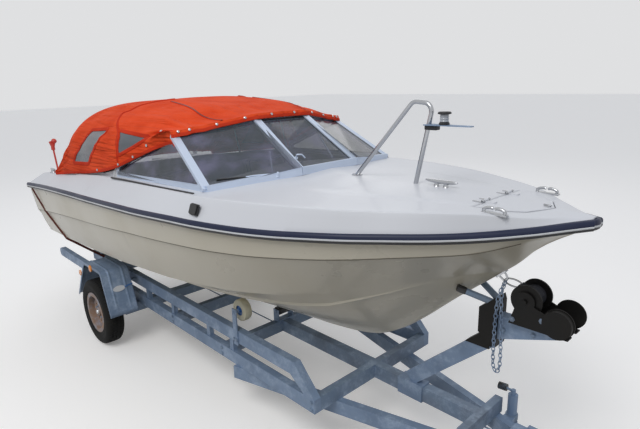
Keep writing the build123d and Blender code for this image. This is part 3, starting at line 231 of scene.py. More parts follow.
class Mesher:
    """Makes one object of several patches."""

    def __init__(self, name: str) -> None:
        """Start an empty piece of that name."""
        self.name = name
        self.patches: list[Patch] = []

    def add(self, points: Array, material: int = 0, closed: bool = False,
            keep: Array | None = None) -> "Mesher":
        """Add a grid of points, n by m by 3, or only the quads to keep, and return the mesher."""
        self.patches.append(Patch(points, material, closed, keep))
        return self

    def lathe(self, profile: Array, centre: tuple, axis: tuple, material: int = 0,
              segments: int = 48) -> "Mesher":
        """Add a turned surface.

        Formula: each profile point (radius, along) goes round the axis, centre + along times
        axis + radius times (cos t side + sin t up).

        Args:
            profile: Points (radius, along), in metres.
            centre: A point on the axis.
            axis: The axis' direction.
            material: Index of the piece's material.
            segments: Steps round.

        Returns:
            The mesher.
        """
        direction = unit(np.array(axis, float))
        helper = np.array((0.0, 0, 1)) if abs(direction[2]) < 0.9 else np.array((1.0, 0, 0))
        side = unit(np.cross(direction, helper))
        up = np.cross(direction, side)
        turn = circle(segments)
        ring = np.cos(turn)[:, None] * side + np.sin(turn)[:, None] * up
        profile = np.asarray(profile, float)
        radius, along = profile[:, 0, None, None], profile[:, 1, None, None]
        return self.add(np.asarray(centre) + along * direction + radius * ring[None], material, True)

    def tube(self, path: Array, radius: float, material: int = 0, sides: int = 16,
             capped: bool = True) -> "Mesher":
        """Add a round tube along a path.

        Formula: at each point of the path a circle stands square to the path's direction, its
        first arm taken from one fixed direction that the path never runs along.

        Args:
            path: Points along the middle, n by 3.
            radius: The tube's radius.
            material: Index of the piece's material.
            sides: Steps round.
            capped: Close both ends.

        Returns:
            The mesher.
        """
        path = np.asarray(path, float)
        along = unit(np.gradient(path, axis=0))
        spread = np.abs(along).max(axis=0)
        helper = np.eye(3)[int(np.argmin(spread))]
        side = unit(np.cross(along, helper))
        up = np.cross(along, side)
        turn = circle(sides)
        radii = np.full(len(path), float(radius))
        if capped:
            path = np.concatenate([path[:1], path, path[-1:]])
            side = np.concatenate([side[:1], side, side[-1:]])
            up = np.concatenate([up[:1], up, up[-1:]])
            radii = np.concatenate([[1e-5], radii, [1e-5]])
        ring = np.cos(turn)[None, :, None] * side[:, None] + np.sin(turn)[None, :, None] * up[:, None]
        return self.add(path[:, None] + ring * radii[:, None, None], material, True)

    def box(self, x: tuple, y: tuple, z: tuple, material: int = 0, round_edge: float = 0.0) -> "Mesher":
        """Add a block with rounded edges: a squared-off ring carried up with its rim drawn in.

        Args:
            x: Low and high x.
            y: Low and high y.
            z: Low and high z.
            material: Index of the piece's material.
            round_edge: Radius of the edges.

        Returns:
            The mesher.
        """
        r = round_edge or min(x[1] - x[0], y[1] - y[0], z[1] - z[0]) * 0.12
        turn = circle(32) + math.pi / 32
        corner_x = np.where(np.cos(turn) > 0, x[1] - r, x[0] + r)
        corner_y = np.where(np.sin(turn) > 0, y[1] - r, y[0] + r)
        lift = np.linspace(0, math.pi / 2, 4)
        heights = np.concatenate([z[0] + r - r * np.cos(lift), z[1] - r + r * np.sin(lift)])
        reach = np.concatenate([r * np.sin(lift), r * np.cos(lift)])
        ring_x = corner_x[None] + np.cos(turn)[None] * reach[:, None]
        ring_y = corner_y[None] + np.sin(turn)[None] * reach[:, None]
        rows = grid_of(ring_x, ring_y, heights[:, None])
        low, high = (np.full((1, len(turn), 3), (sum(x) / 2, sum(y) / 2, h)) for h in z)
        return self.add(np.concatenate([low, rows, high]), material, True)

    def prism(self, outline: Array, along: tuple, material: int = 0) -> "Mesher":
        """Add a prism: a flat outline carried along a vector, each end closed from its middle.

        Args:
            outline: Corners of the outline, n by 3.
            along: The vector that it is carried along.
            material: Index of the piece's material.

        Returns:
            The mesher.
        """
        ring = np.asarray(outline, float)
        middle = np.broadcast_to(ring.mean(axis=0), ring.shape)
        push = np.asarray(along, float)
        return self.add(np.stack([middle, ring, ring + push, middle + push]), material, True)

    def ribbon(self, path: Array, normal: Array, width: float, lift: float, material: int = 0,
               ring: bool = False) -> "Mesher":
        """Add a flat band along a path, its long edges turned down to the surface below.

        Formula: the band's side direction is the normal crossed with the path's direction; the
        section runs foot, rim, rim, foot across the width.

        Args:
            path: Points along the band's middle, n by 3.
            normal: Directions away from the surface, n by 3.
            width: The band's width.
            lift: How far its face stands off the path.
            material: Index of the piece's material.
            ring: The path's last point goes on to its first.

        Returns:
            The mesher.
        """
        along = np.roll(path, -1, axis=0) - np.roll(path, 1, axis=0) if ring else np.gradient(path, axis=0)
        side = unit(np.cross(normal, along))
        section = np.array(
            [(-0.5, -0.2), (-0.46, 0.8), (-0.38, 1.0), (0.0, 1.05), (0.38, 1.0), (0.46, 0.8), (0.5, -0.2)])
        points = (path[:, None] + side[:, None] * section[None, :, 0, None] * width
                  + normal[:, None] * section[None, :, 1, None] * lift)
        return self.add(np.concatenate([points, points[:1]]) if ring else points, material)

    def build(self, materials: list[bpy.types.Material], slot: str, replaces: tuple[str, ...] = (),
              body: Body = Body.OUTFIT, closed: bool = True, angle: float = 35.0,
              solid: float = 0.0) -> bpy.types.Object:
        """Make the object, in the row frame.

        Args:
            materials: The piece's materials in order.
            slot: The record's material slot; not used.
            replaces: CAD nodes that it stands for.
            body: The body that it rides on.
            closed: Merge doubles and turn all faces outwards.
            angle: Edges sharper than this many degrees stay sharp.
            solid: Wall thickness given inwards to an open sheet, or 0.

        Returns:
            The finished object.
        """
        vertices, quads, uses, start = [], [], [], 0
        for patch in self.patches:
            flat = patch.points.reshape(-1, 3)
            found = patch.faces() + start
            vertices.append(flat)
            quads.append(found)
            uses.append(np.full(len(found), patch.material))
            start += len(flat)
        points = np.concatenate(vertices) - np.array([MIDDLE, 0, 0])
        mesh = bpy.data.meshes.new(self.name)
        mesh.from_pydata(points.tolist(), [], np.concatenate(quads).tolist())
        mesh.polygons.foreach_set("material_index", np.concatenate(uses).astype(np.int32))
        for material in materials:
            mesh.materials.append(material)
        work = bmesh.new()
        work.from_mesh(mesh)
        bmesh.ops.remove_doubles(work, verts=work.verts, dist=2e-5)
        bmesh.ops.dissolve_degenerate(work, edges=work.edges, dist=1e-6)
        if closed:
            bmesh.ops.recalc_face_normals(work, faces=work.faces)
        work.to_mesh(mesh)
        work.free()
        mesh.shade_smooth()
        mesh.set_sharp_from_angle(angle=math.radians(angle))
        piece = bpy.data.objects.new(self.name, mesh)
        bpy.context.scene.collection.objects.link(piece)
        if solid:
            wall = piece.modifiers.new("wall", "SOLIDIFY")
            wall.thickness = solid
            wall.offset = -1.0
        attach(piece, body.value)
        if replaces:
            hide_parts(*replaces)
        LOG.info("built %s", self.name)
        return piece


class NodeBench:
    """A material's node tree, wired in short calls."""

    def __init__(self, name: str) -> None:
        """Start a material with its Principled shader."""
        self.material = bpy.data.materials.new(name)
        self.material.use_nodes = True
        self.tree = self.material.node_tree
        self.shader = self.tree.nodes["Principled BSDF"]
        self.place = self.node("ShaderNodeTexCoord").outputs["Object"]

    def feed(self, node: bpy.types.Node, inputs: dict) -> None:
        """Give a node its inputs.

        Args:
            node: The node.
            inputs: For each input's name or number a socket to link, or a plain value.
        """
        for key, value in inputs.items():
            if isinstance(value, Socket):
                self.tree.links.new(value, node.inputs[key])
            else:
                node.inputs[key].default_value = value

    def node(self, kind: str, inputs: dict | None = None, **values: object) -> bpy.types.Node:
        """Make a node.

        Args:
            kind: The node's type.
            inputs: Its inputs, as for feed.
            **values: Its attributes.

        Returns:
            The node.
        """
        made = self.tree.nodes.new(kind)
        for key, value in values.items():
            setattr(made, key, value)
        self.feed(made, inputs or {})
        return made

    def stretch(self, scale: tuple[float, float, float], turn: tuple = (0, 0, 0)) -> Socket:
        """Object coordinates scaled and turned."""
        inputs = {"Scale": scale, "Rotation": turn, "Vector": self.place}
        return self.node("ShaderNodeMapping", inputs).outputs[0]

    def noise(self, scale: float, detail: float = 4.0, rough: float = 0.55, where: Socket | None = None,
              distortion: float = 0.0) -> Socket:
        """Noise from 0 to 1 on the piece."""
        inputs = {"Scale": scale, "Detail": detail, "Roughness": rough, "Distortion": distortion,
                  "Vector": where or self.place}
        return self.node("ShaderNodeTexNoise", inputs).outputs["Fac"]

    def ramp(self, source: Socket, low: float, high: float) -> Socket:
        """The part of a value between low and high, spread from 0 to 1."""
        inputs = {"From Min": low, "From Max": high, "Value": source}
        return self.node("ShaderNodeMapRange", inputs, interpolation_type="SMOOTHSTEP").outputs["Result"]

    def scaled(self, source: Socket, factor: float, plus: float = 0.0) -> Socket:
        """A value times a factor, plus a constant."""
        inputs = {0: source, 1: factor, 2: plus}
        return self.node("ShaderNodeMath", inputs, operation="MULTIPLY_ADD").outputs[0]

    def both(self, first: Socket, second: Socket, how: str = "MULTIPLY") -> Socket:
        """Two values joined by an operation."""
        return self.node("ShaderNodeMath", {0: first, 1: second}, operation=how).outputs[0]

    def blend(self, share: Socket, first: object, second: object) -> Socket:
        """A colour between two, each a socket or a plain (r, g, b)."""
        first, second = ((*c, 1.0) if isinstance(c, tuple) else c for c in (first, second))
        return self.node("ShaderNodeMix", {"Factor": share, 6: first, 7: second}, data_type="RGBA").outputs[2]

    def bump(self, height: Socket, strength: float, distance: float) -> None:
        """Relief from a height, added over what the shader has."""
        made = self.node("ShaderNodeBump", {"Strength": strength, "Distance": distance, "Height": height})
        target = self.shader.inputs["Normal"]
        if target.is_linked:
            self.feed(made, {"Normal": target.links[0].from_socket})
        self.tree.links.new(made.outputs["Normal"], target)


@dataclass(frozen=True)
class Finish:
    """A plain finish: one colour that drifts towards a second, with fine relief."""

    name: str
    colour: tuple[float, float, float]
    worn: tuple[float, float, float]
    roughness: float = 0.5
    metallic: float = 0.0
    coat: float = 0.0
    grain: float = 60.0
    drift: float = 4.0
    relief: float = 0.0004
    wear: float = 0.5
    specular: float = 0.5

    def material(self) -> bpy.types.Material:
        """The finish as a Blender material."""
        bench = NodeBench(self.name)
        broad = bench.ramp(bench.noise(self.drift, 6), 0.35, 0.75)
        colour = bench.blend(bench.scaled(broad, self.wear), self.colour, self.worn)
        bench.feed(bench.shader, {
            "Metallic": self.metallic, "Coat Weight": self.coat, "Coat Roughness": 0.06,
            "Specular IOR Level": self.specular, "Base Color": self.pattern(bench, colour),
            "Roughness": bench.scaled(broad, 0.18, self.roughness - 0.06)})
        bench.bump(bench.noise(self.grain, 3), 0.35, self.relief)
        return bench.material

    def pattern(self, bench: NodeBench, colour: Socket) -> Socket:
        """What this finish lays over its base colour; the plain finish adds nothing."""
        return colour


@dataclass(frozen=True)
class Gelcoat(Finish):
    """Glossy moulded skin with faint runs of dirt under its edges."""

    # Colour of the real dirt runs on the skin.
    grime_and_shade: tuple[float, float, float] = (0.36, 0.33, 0.26)

    def pattern(self, bench: NodeBench, colour: Socket) -> Socket:
        """Runs drawn out down the sides and a haze of dust."""
        runs = bench.noise(1.0, 5, 0.6, bench.stretch((9, 9, 1.2)))
        share = bench.scaled(bench.ramp(runs, 0.58, 0.88), 0.16)
        return bench.blend(share, colour, self.grime_and_shade)


@dataclass(frozen=True)
class Galvanised(Finish):
    """Hot-dipped zinc: flakes of differing grey, white bloom and rust at places."""

    rust: float = 0.0

    def pattern(self, bench: NodeBench, colour: Socket) -> Socket:
        """Flakes from cells, bloom from noise, then rust where the noise peaks."""
        cells = bench.node("ShaderNodeTexVoronoi", {"Scale": 55, "Vector": bench.place})
        grey = bench.node("ShaderNodeRGBToBW", {0: cells.outputs["Color"]})
        flakes = bench.blend(bench.scaled(grey.outputs[0], 0.3), colour, (0.24, 0.3, 0.38))
        bloom = bench.ramp(bench.noise(7, 8, 0.75), 0.46, 0.66)
        pale = bench.blend(bench.scaled(bloom, 0.6), flakes, (0.4, 0.49, 0.62))
        spots = bench.ramp(bench.noise(11, 8, 0.75), 0.74 - 0.12 * self.rust, 0.84)
        return bench.blend(bench.scaled(spots, 0.25 + self.rust * 0.6), pale, (0.2, 0.09, 0.04))


@dataclass(frozen=True)
class Canvas(Finish):
    """Proofed cloth with a fine weave."""

    threads: float = 700.0
    wrinkle: float = 0.0

    def pattern(self, bench: NodeBench, colour: Socket) -> Socket:
        """Weave as two crossed waves in the relief, faded patches in the colour."""
        waves = []
        for direction in ("X", "Y"):
            inputs = {"Scale": self.threads, "Vector": bench.place}
            wave = bench.node("ShaderNodeTexWave", inputs, bands_direction=direction)
            waves.append(wave.outputs["Fac"])
        bench.bump(bench.both(*waves, how="MAXIMUM"), 0.2, 0.0004)
        if self.wrinkle:
            drawn = bench.noise(1.0, 3.0, 0.5, bench.stretch((1.5, 14.0, 30.0), (0.0, 0.12, 0.0)), 0.7)
            bench.bump(drawn, 0.9, self.wrinkle)
        faded = bench.ramp(bench.noise(2.2, 5), 0.45, 0.8)
        return bench.blend(
            bench.scaled(faded, 0.3), colour, tuple(min(c * 1.15 + 0.02, 1) for c in self.colour))


class Finishes:
    """All the finishes of boat and trailer as materials, each made once."""

    def __init__(self) -> None:
        """Make every material."""
        self.gelcoat = Gelcoat("hull_gelcoat", (0.7, 0.645, 0.52), (0.64, 0.58, 0.45), 0.33, coat=0.2,
                               grain=40, relief=0.0001, drift=1.5, wear=0.35).material()
        self.deck_gelcoat = Gelcoat("deck_gelcoat", (0.67, 0.675, 0.7), (0.62, 0.625, 0.645), 0.42, coat=0.1,
                                    grain=60, relief=0.0001, drift=1.1, wear=0.35).material()
        self.zinc = Galvanised(
            "zinc", (0.21, 0.29, 0.42), (0.11, 0.155, 0.235), 0.55, 0.3, grain=140).material()
        self.rusty_zinc = Galvanised(
            "rusty_zinc", (0.19, 0.26, 0.36), (0.15, 0.14, 0.14), 0.6, 0.35, rust=0.6).material()
        self.steel = Finish("polished_steel", (0.5, 0.51, 0.53), (0.4, 0.41, 0.43), 0.2, 1.0, grain=400,
                            relief=0.0001).material()
        self.anodised = Finish("anodised", (0.62, 0.7, 0.84), (0.54, 0.62, 0.74), 0.42, 0.25, grain=300,
                               relief=0.0001).material()
        self.canvas = Canvas("canvas", (0.82, 0.08, 0.018), (0.6, 0.036, 0.009), 0.9, relief=0.0008,
                             grain=30, wrinkle=0.032, specular=0.2).material()
        self.hem = Canvas("hem_cloth", (0.62, 0.042, 0.012), (0.48, 0.028, 0.009), 0.9, relief=0.0008,
                          grain=30, wrinkle=0.01, specular=0.2).material()
        # Dark brown for the beads under the topside step: painted shade of the step's shadow line.
        self.grime_and_shade = Finish(
            "painted_step_shade", (0.24, 0.21, 0.16), (0.32, 0.29, 0.23), 0.8, grain=120, drift=7).material()
        self.lamp_lens = Finish("lamp_lens", (0.42, 0.44, 0.47), (0.34, 0.36, 0.38), 0.1, coat=0.8).material()
        self.piping = Finish("seat_piping", (0.1, 0.12, 0.2), (0.08, 0.09, 0.14), 0.5, grain=220).material()
        self.navy = Finish(
            "navy_rail", (0.012, 0.018, 0.05), (0.025, 0.03, 0.06), 0.4, specular=0.3, grain=80).material()
        self.white_stripe = Finish("white_stripe", (0.68, 0.69, 0.7), (0.55, 0.56, 0.56), 0.35).material()
        self.black_rail = Finish("black_rail", (0.008, 0.008, 0.01), (0.02, 0.02, 0.02), 0.45).material()
        self.black_plastic = Finish(
            "black_plastic", (0.012, 0.012, 0.013), (0.03, 0.03, 0.03), 0.42, grain=250).material()
        self.black_steel = Finish("black_steel", (0.005, 0.005, 0.005), (0.018, 0.015, 0.012), 0.5, grain=180,
                                  specular=0.2, relief=0.0006).material()
        self.tyre = Finish("tyre_rubber", (0.012, 0.012, 0.012), (0.035, 0.032, 0.028), 0.85, grain=160,
                           specular=0.2, relief=0.0012).material()
        self.rim = Galvanised(
            "rusty_rim", (0.34, 0.2, 0.12), (0.46, 0.38, 0.3), 0.7, 0.05, rust=1.0).material()
        self.nylon = Finish("cream_nylon", (0.66, 0.62, 0.46), (0.52, 0.48, 0.34), 0.45).material()
        self.blue_plastic = Finish("blue_plastic", (0.05, 0.16, 0.42), (0.08, 0.2, 0.42), 0.4).material()
        self.vinyl = Finish(
            "seat_vinyl", (0.72, 0.7, 0.64), (0.62, 0.6, 0.54), 0.5, grain=220, relief=0.0006).material()
        self.lining = Finish("lining", (0.42, 0.42, 0.41), (0.33, 0.33, 0.32), 0.7, grain=120).material()
        self.engine = Finish(
            "engine_paint", (0.02, 0.022, 0.028), (0.035, 0.035, 0.04), 0.25, coat=0.6).material()
        self.amber = Finish("amber_lens", (0.95, 0.3, 0.01), (0.85, 0.22, 0.01), 0.2, coat=0.5).material()
        self.red_plastic = Finish("red_plastic", (0.62, 0.07, 0.05), (0.55, 0.12, 0.1), 0.4).material()
        self.strap = Canvas(
            "winch_strap", (0.02, 0.021, 0.026), (0.045, 0.045, 0.05), 0.8, specular=0.2).material()
        self.webbing = Canvas(
            "webbing", (0.13, 0.035, 0.025), (0.09, 0.025, 0.02), 0.8, specular=0.2).material()
        self.glass = self.make_glass("pane_glass", (0.4, 0.36, 0.62), 0.42)
        # The hood's windows: clear vinyl drawn nearly opaque and dark red, painted shade of the hood's inside
        # seen through it.
        self.window_vinyl_painted_shade = self.make_glass("window_vinyl_painted_shade", (0.12, 0.02, 0.016), 0.93)

    @staticmethod
    def make_glass(name: str, tint: tuple[float, float, float], alpha: float) -> bpy.types.Material:
        """A thin pane: a tinted glossy sheet, see-through as far as its alpha allows.

        Args:
            name: The material's name.
            tint: Colour of the pane; for the hood's windows, the painted shade of the hood's inside.
            alpha: How much of the pane shows, from 0 to 1.

        Returns:
            The material.
        """
        bench = NodeBench(name)
        haze = bench.ramp(bench.noise(5, 5), 0.4, 0.8)
        bench.feed(bench.shader, {
            "Roughness": 0.04, "IOR": 1.5, "Coat Weight": 0.15,
            "Base Color": bench.blend(bench.scaled(haze, 0.4), (0.1, 0.12, 0.14), tint),
            "Alpha": bench.scaled(haze, 0.12, alpha)})
        return bench.material


class HalfSection:
    """Breadths and heights of a half section at each station, added run by run."""

    def __init__(self) -> None:
        """Start without points."""
        self.breadths: list[Array] = []
        self.heights: list[Array] = []

    def run(self, y0: Array, z0: Array, y1: Array, z1: Array, count: int, swell: float = 0.0) -> None:
        """Add points from one corner towards the next, without the last.

        Formula: a straight run whose middle swells outwards by a half sine.

        Args:
            y0: Half breadths at the start.
            z0: Heights at the start.
            y1: Half breadths at the end.
            z1: Heights at the end.
            count: How many points.
            swell: Greatest swell for each metre of height.
        """
        t = np.arange(count) / count
        bulge = swell * np.sin(math.pi * t)[None]
        self.breadths.append(y0[:, None] + (y1 - y0)[:, None] * t + bulge * (z1 - z0)[:, None])
        self.heights.append(z0[:, None] + (z1 - z0)[:, None] * t)


@dataclass
class Hull:
    """Outer skin of the hull and its transom."""

    finishes: Finishes
    stern: float = -3.6
    stem: float = 1.185
    joint_drop: float = 0.022
    keel_round: float = 0.03
    strake_share: float = 0.8
    strake_root: float = 0.05
    strake_drop: float = 0.014
    strake_rise: tuple = (0.0, 0.5)
    side_step: tuple = (0.014, 0.007)
    # Radius of the beads of painted shade under the topside step.
    step_shade_bead: float = 0.0026
    band_half: float = 0.03
    band_step: float = 0.004
    notch_half: float = 0.335
    notch_z: float = 1.062
    transom: float = 0.042
    skin: float = 0.012
    steps: int = 180

    def step_size(self, s: dict[str, Array]) -> Pair:
        """Breadth and depth of the topside step, less where the hull is narrow or low."""
        flat, deep = self.side_step
        return np.minimum(flat, s["knuckle_y"] * 0.2), np.minimum(deep, (s["knuckle_z"] - s["chine_z"]) * 0.3)

    def section(self, x: Array) -> Pair:
        """Half section of the hull from keel to joint at each station.

        Formula: straight runs from the keel to the strake, chine, topside step and joint; the
        keel's point is a hyperbola so that its ridge is round, and the runs' middles swell a
        little outwards with a half sine.

        Args:
            x: Stations.

        Returns:
            Half breadths and heights, each stations by points.
        """
        s = stations(x)
        rise = s["chine_z"] - s["keel"]
        first, last = self.strake_rise
        run_out = np.clip((x - first) / (last - first), 0, 1)
        drop = self.strake_drop * (1 - run_out) + 0.0005
        step, down = self.step_size(s)
        root = self.strake_root
        share = self.strake_share + (1 - 1.5 * root - self.strake_share) * run_out
        half = HalfSection()
        run = half.run
        zero = np.zeros_like(x)
        root_y, root_z = s["chine_y"] * (share - root), s["keel"] + rise * (share - root)
        lip_y, lip_z = s["chine_y"] * share, s["keel"] + rise * share - drop
        top_y, top_z = s["chine_y"] * (share + root / 5), s["keel"] + rise * (share + root / 5)
        band_y = np.minimum(self.band_half, s["chine_y"] * 0.3)
        band_z = s["keel"] + rise * band_y / s["chine_y"]
        band_step = np.minimum(self.band_step, band_y * 0.1)
        run(zero, s["keel"], band_y, band_z, 5)
        run(band_y, band_z, band_y + 0.001, band_z + band_step, 1)
        run(band_y + 0.001, band_z + band_step, root_y, root_z, 12)
        run(root_y, root_z, lip_y, lip_z, 2)
        run(lip_y, lip_z, top_y, top_z, 1)
        run(top_y, top_z, s["chine_y"], s["chine_z"], 4)
        run(s["chine_y"], s["chine_z"], s["knuckle_y"] - step, s["knuckle_z"] - down, 10, 0.02)
        run(s["knuckle_y"] - step, s["knuckle_z"] - down, s["knuckle_y"], s["knuckle_z"], 1)
        run(s["knuckle_y"], s["knuckle_z"], s["rail_y"], s["rail_z"] - self.joint_drop, 6)
        y = np.concatenate(half.breadths + [s["rail_y"][:, None]], axis=1)
        z = np.concatenate(half.heights + [(s["rail_z"] - self.joint_drop)[:, None]], axis=1)
        blunt = self.keel_round * np.minimum(1, s["chine_y"] / 0.2)[:, None]
        slope = (rise / s["chine_y"])[:, None]
        ridge = np.minimum(slope, 3.0) * (np.sqrt(y**2 + blunt**2) - y) * (y < s["chine_y"][:, None] * 0.5)
        return y, z + ridge * 0.5

    def build(self) -> None:
        """Build the skin from rail to rail, then the transom."""
        x = self.stern + (self.stem - self.stern) * np.linspace(0, 1, self.steps) ** 0.9
        y, z = self.section(x)
        full_y = np.concatenate([-y[:, ::-1], y[:, 1:]], axis=1)
        full_z = np.concatenate([z[:, ::-1], z[:, 1:]], axis=1)
        Mesher("hull_skin").add(grid_of(x[:, None], full_y, full_z)[::-1]).build(
            [self.finishes.gelcoat], "gelcoat", ("hull",), closed=False, angle=16, solid=self.skin)
        self.build_transom(y[0], z[0])
        self.build_step_lines()

    def build_step_lines(self) -> None:
        """Painted shade: thin dark beads in the corner under the topside step, standing for the step's shadow
        line.
        """
        mesher = Mesher("hull_step_shade_lines")
        x = np.linspace(self.stern + 0.002, 0.95, 160)
        s = stations(x)
        step, down = self.step_size(s)
        # Beads just inside and below the step's corner: painted shade of its shadow line.
        for side in (-1, 1):
            path = np.stack([x, side * (s["knuckle_y"] - step * 0.75), s["knuckle_z"] - down * 0.85], axis=1)
            mesher.tube(path, self.step_shade_bead, 0, 6)
        mesher.build([self.finishes.grime_and_shade], "gelcoat", closed=False)

    def build_transom(self, side_y: Array, side_z: Array) -> None:
        """The transom, a slab under the line of the notch and over that of the bottom.

        Formula: for each breadth, height runs from the hull's own outline up to the joint, or
        to the notch where the engine hangs.

        Args:
            side_y: Half breadths of the aftmost section.
            side_z: Heights of the aftmost section.
        """
        half = np.concatenate([np.linspace(0, self.notch_half, 12), [self.notch_half + 1e-4],
                               np.linspace(self.notch_half + 0.02, side_y[-1] - 1e-3, 30)])
        across = np.concatenate([-half[::-1], half[1:]])
        low = np.interp(np.abs(across), side_y, side_z)
        high = np.where(np.abs(across) <= self.notch_half + 5e-5, self.notch_z, side_z[-1])
        rise = np.linspace(0, 1, 6)
        z = low[:, None] + (high - low)[:, None] * rise
        back = grid_of(self.stern, across[:, None], z)
        fore = back + np.array([self.transom, 0, 0])
        fore[..., 1] *= 0.985
        ring = np.stack([back[:, 0], fore[:, 0], fore[:, -1], back[:, -1]], axis=1)
        mesher = Mesher("transom").add(back).add(fore[::-1]).add(ring[:, :2][::-1]).add(ring[:, 2:][::-1])
        mesher.build([self.finishes.gelcoat], "gelcoat", closed=True, angle=30)


@dataclass
class Deck:
    """Deck moulding with its cockpit opening and motor well."""

    finishes: Finishes
    stern: float = -3.6
    stem: float = 1.185
    joint_drop: float = 0.022
    cockpit: tuple = (-3.03, -0.8)
    locker: tuple = (0.742, 1.02)
    edges: tuple = ((-3.03, 0.68), (-1.7, 0.765), (-0.8, 0.735), (0.742, 0.23), (0.875, 0.206),
                    (0.951, 0.141), (1.02, 0.0))
    coaming: tuple = ((-2.48, 1.492), (-1.743, 1.54), (-1.743, 1.612), (-1.935, 1.57), (-2.48, 1.505))
    well_end: float = -3.18
    well_half: float = 0.335
    well_floor: float = 1.008
    skin: float = 0.01
    crease_round: float = 0.007

    def rows(self, x: Array) -> tuple[Array, Array, list[int]]:
        """Half section of the deck from joint to middle at each station.

        Formula: joint, rail and crease straight as in the table, the crease rounded by a small
        arc; then straight to the crown, with two soft pressed ridges along the foredeck.

        Args:
            x: Stations.

        Returns:
            Half breadths, heights, and the rows of the openings' and the well's edges.
        """
        s = stations(x)
        edge = np.minimum(np.interp(x, *np.array(self.edges).T), s["crease_y"] * 0.9)
        well = np.minimum(self.well_half, edge * 0.5)
        r = np.minimum(self.crease_round, s["crease_y"] * 0.3)
        flank = np.hypot(s["rail_y"] - s["crease_y"], s["crease_z"] - s["rail_z"])
        out_y = s["crease_y"] + (s["rail_y"] - s["crease_y"]) * r / flank
        out_z = s["crease_z"] + (s["rail_z"] - s["crease_z"]) * r / flank
        fall = (s["crown"] - s["crease_z"]) / s["crease_y"]
        in_y = s["crease_y"] - r
        in_z = s["crease_z"] + fall * r
        half = HalfSection()
        run = half.run
        run(s["rail_y"], s["rail_z"] - self.joint_drop, s["rail_y"], s["rail_z"], 1)
        run(s["rail_y"], s["rail_z"], out_y, out_z, 4)
        t = np.arange(5) / 5
        half.breadths.append(bend(out_y[:, None], s["crease_y"][:, None], in_y[:, None], t))
        half.heights.append(bend(out_z[:, None], s["crease_z"][:, None], in_z[:, None], t))
        edge_z, well_z = s["crown"] - fall * edge, s["crown"] - fall * well
        run(in_y, in_z, edge, edge_z, 14)
        edge_row = sum(block.shape[1] for block in half.breadths)
        run(edge, edge_z, well, well_z, 12)
        well_row = sum(block.shape[1] for block in half.breadths)
        run(well, well_z, np.zeros_like(x), s["crown"], 10)
        y = np.concatenate(half.breadths + [np.zeros((len(x), 1))], axis=1)
        z = np.concatenate(half.heights + [s["crown"][:, None]], axis=1)
        return y, z + self.ridges(x, y, s), [edge_row, well_row]

    @staticmethod
    def ridges(x: Array, y: Array, s: dict[str, Array]) -> Array:
        """Height of the foredeck's two pressed ridges, which run in towards the bow.

        Formula: a smooth step up of 7 mm across 30 mm, inside a line that narrows with the
        crease, faded in ahead of the windscreen.
        """
        line = s["crease_y"][:, None] * 0.52
        fade = np.clip((x + 0.25) / 0.3, 0, 1)[:, None] * np.clip((0.75 - x) / 0.2, 0, 1)[:, None]
        return 0.007 * fade / (1 + np.exp(np.clip((y - line) / 0.008, -40, 40)))

    def build(self) -> None:
        """Build the moulding as patches with the openings left out, then the well."""
        zones = (
            (self.stern, self.well_end, 12, "well"),
            (self.well_end, self.cockpit[0], 6, "whole"),
            (*self.cockpit, 40, "hole"),
            (self.cockpit[1], self.locker[0], 90, "whole"),
            (*self.locker, 40, "hole"),
            (self.locker[1], self.stem, 24, "whole"),
        )
        mesher = Mesher("deck_moulding")
        for start, end, count, kind in zones:
            x = np.linspace(start, end, count)
            y, z, (edge_row, well_row) = self.rows(x)
            keep = {"well": well_row + 1, "hole": edge_row + 1, "whole": y.shape[1]}[kind]
            grid = grid_of(x[:, None], y, z)[:, :keep]
            mesher.add(grid[::-1])
            mesher.add(grid * np.array([1, -1, 1]))
        y, z, (_, well_row) = self.rows(np.array([self.stern]))
        top = grid_of(self.stern, y, z)[:, :well_row + 1]
        low = np.where(np.array([False, False, True]), top[:, :1], top)
        wall = np.concatenate([low, top])
        mesher.add(wall[::-1])
        mesher.add(wall * np.array([1, -1, 1]))
        mesher.build(
            [self.finishes.deck_gelcoat], "gelcoat", ("deck",), closed=False, angle=24, solid=self.skin)
        self.build_well()
        self.build_locker()
        self.build_coaming()

    def build_well(self) -> None:
        """The motor well: a rounded box open at the top and at the stern."""
        x0, x1, half, low = self.stern, self.well_end, self.well_half, self.well_floor
        s = stations(np.array([x0, x1]))
        turn = np.linspace(0, math.pi / 2, 6)
        r = 0.04
        ring_y = np.concatenate([[-half], -half + r - r * np.cos(turn), half - r + r * np.sin(turn), [half]])
        ring_z = np.concatenate([[1.4], low + r - r * np.sin(turn), low + r - r * np.cos(turn), [1.4]])
        length = np.linspace(x0 + 0.042, x1 - 0.02, 12)
        grid = grid_of(length[:, None], ring_y[None], ring_z[None]).copy()
        top = np.interp(length, [x0, x1], s["crown"])
        grid[:, 0, 2] = top - 0.004
        grid[:, -1, 2] = top - 0.004
        end = grid[-1:] * np.array([1, 0.0, 1]) + np.array([0.02, 0, 0]) + grid[-1:] * np.array([0, 1, 0])
        wall = np.concatenate([grid, end])
        last = wall[-1]
        middle = np.column_stack([last[:, 0], last[:, 1] * 0, np.full(len(last), top[-1] - 0.004)])
        closing = np.stack([last, middle])
        Mesher("motor_well").add(wall).add(closing).build(
            [self.finishes.deck_gelcoat], "gelcoat", ("motor_well_liner",), closed=False, angle=40,
            solid=0.006)

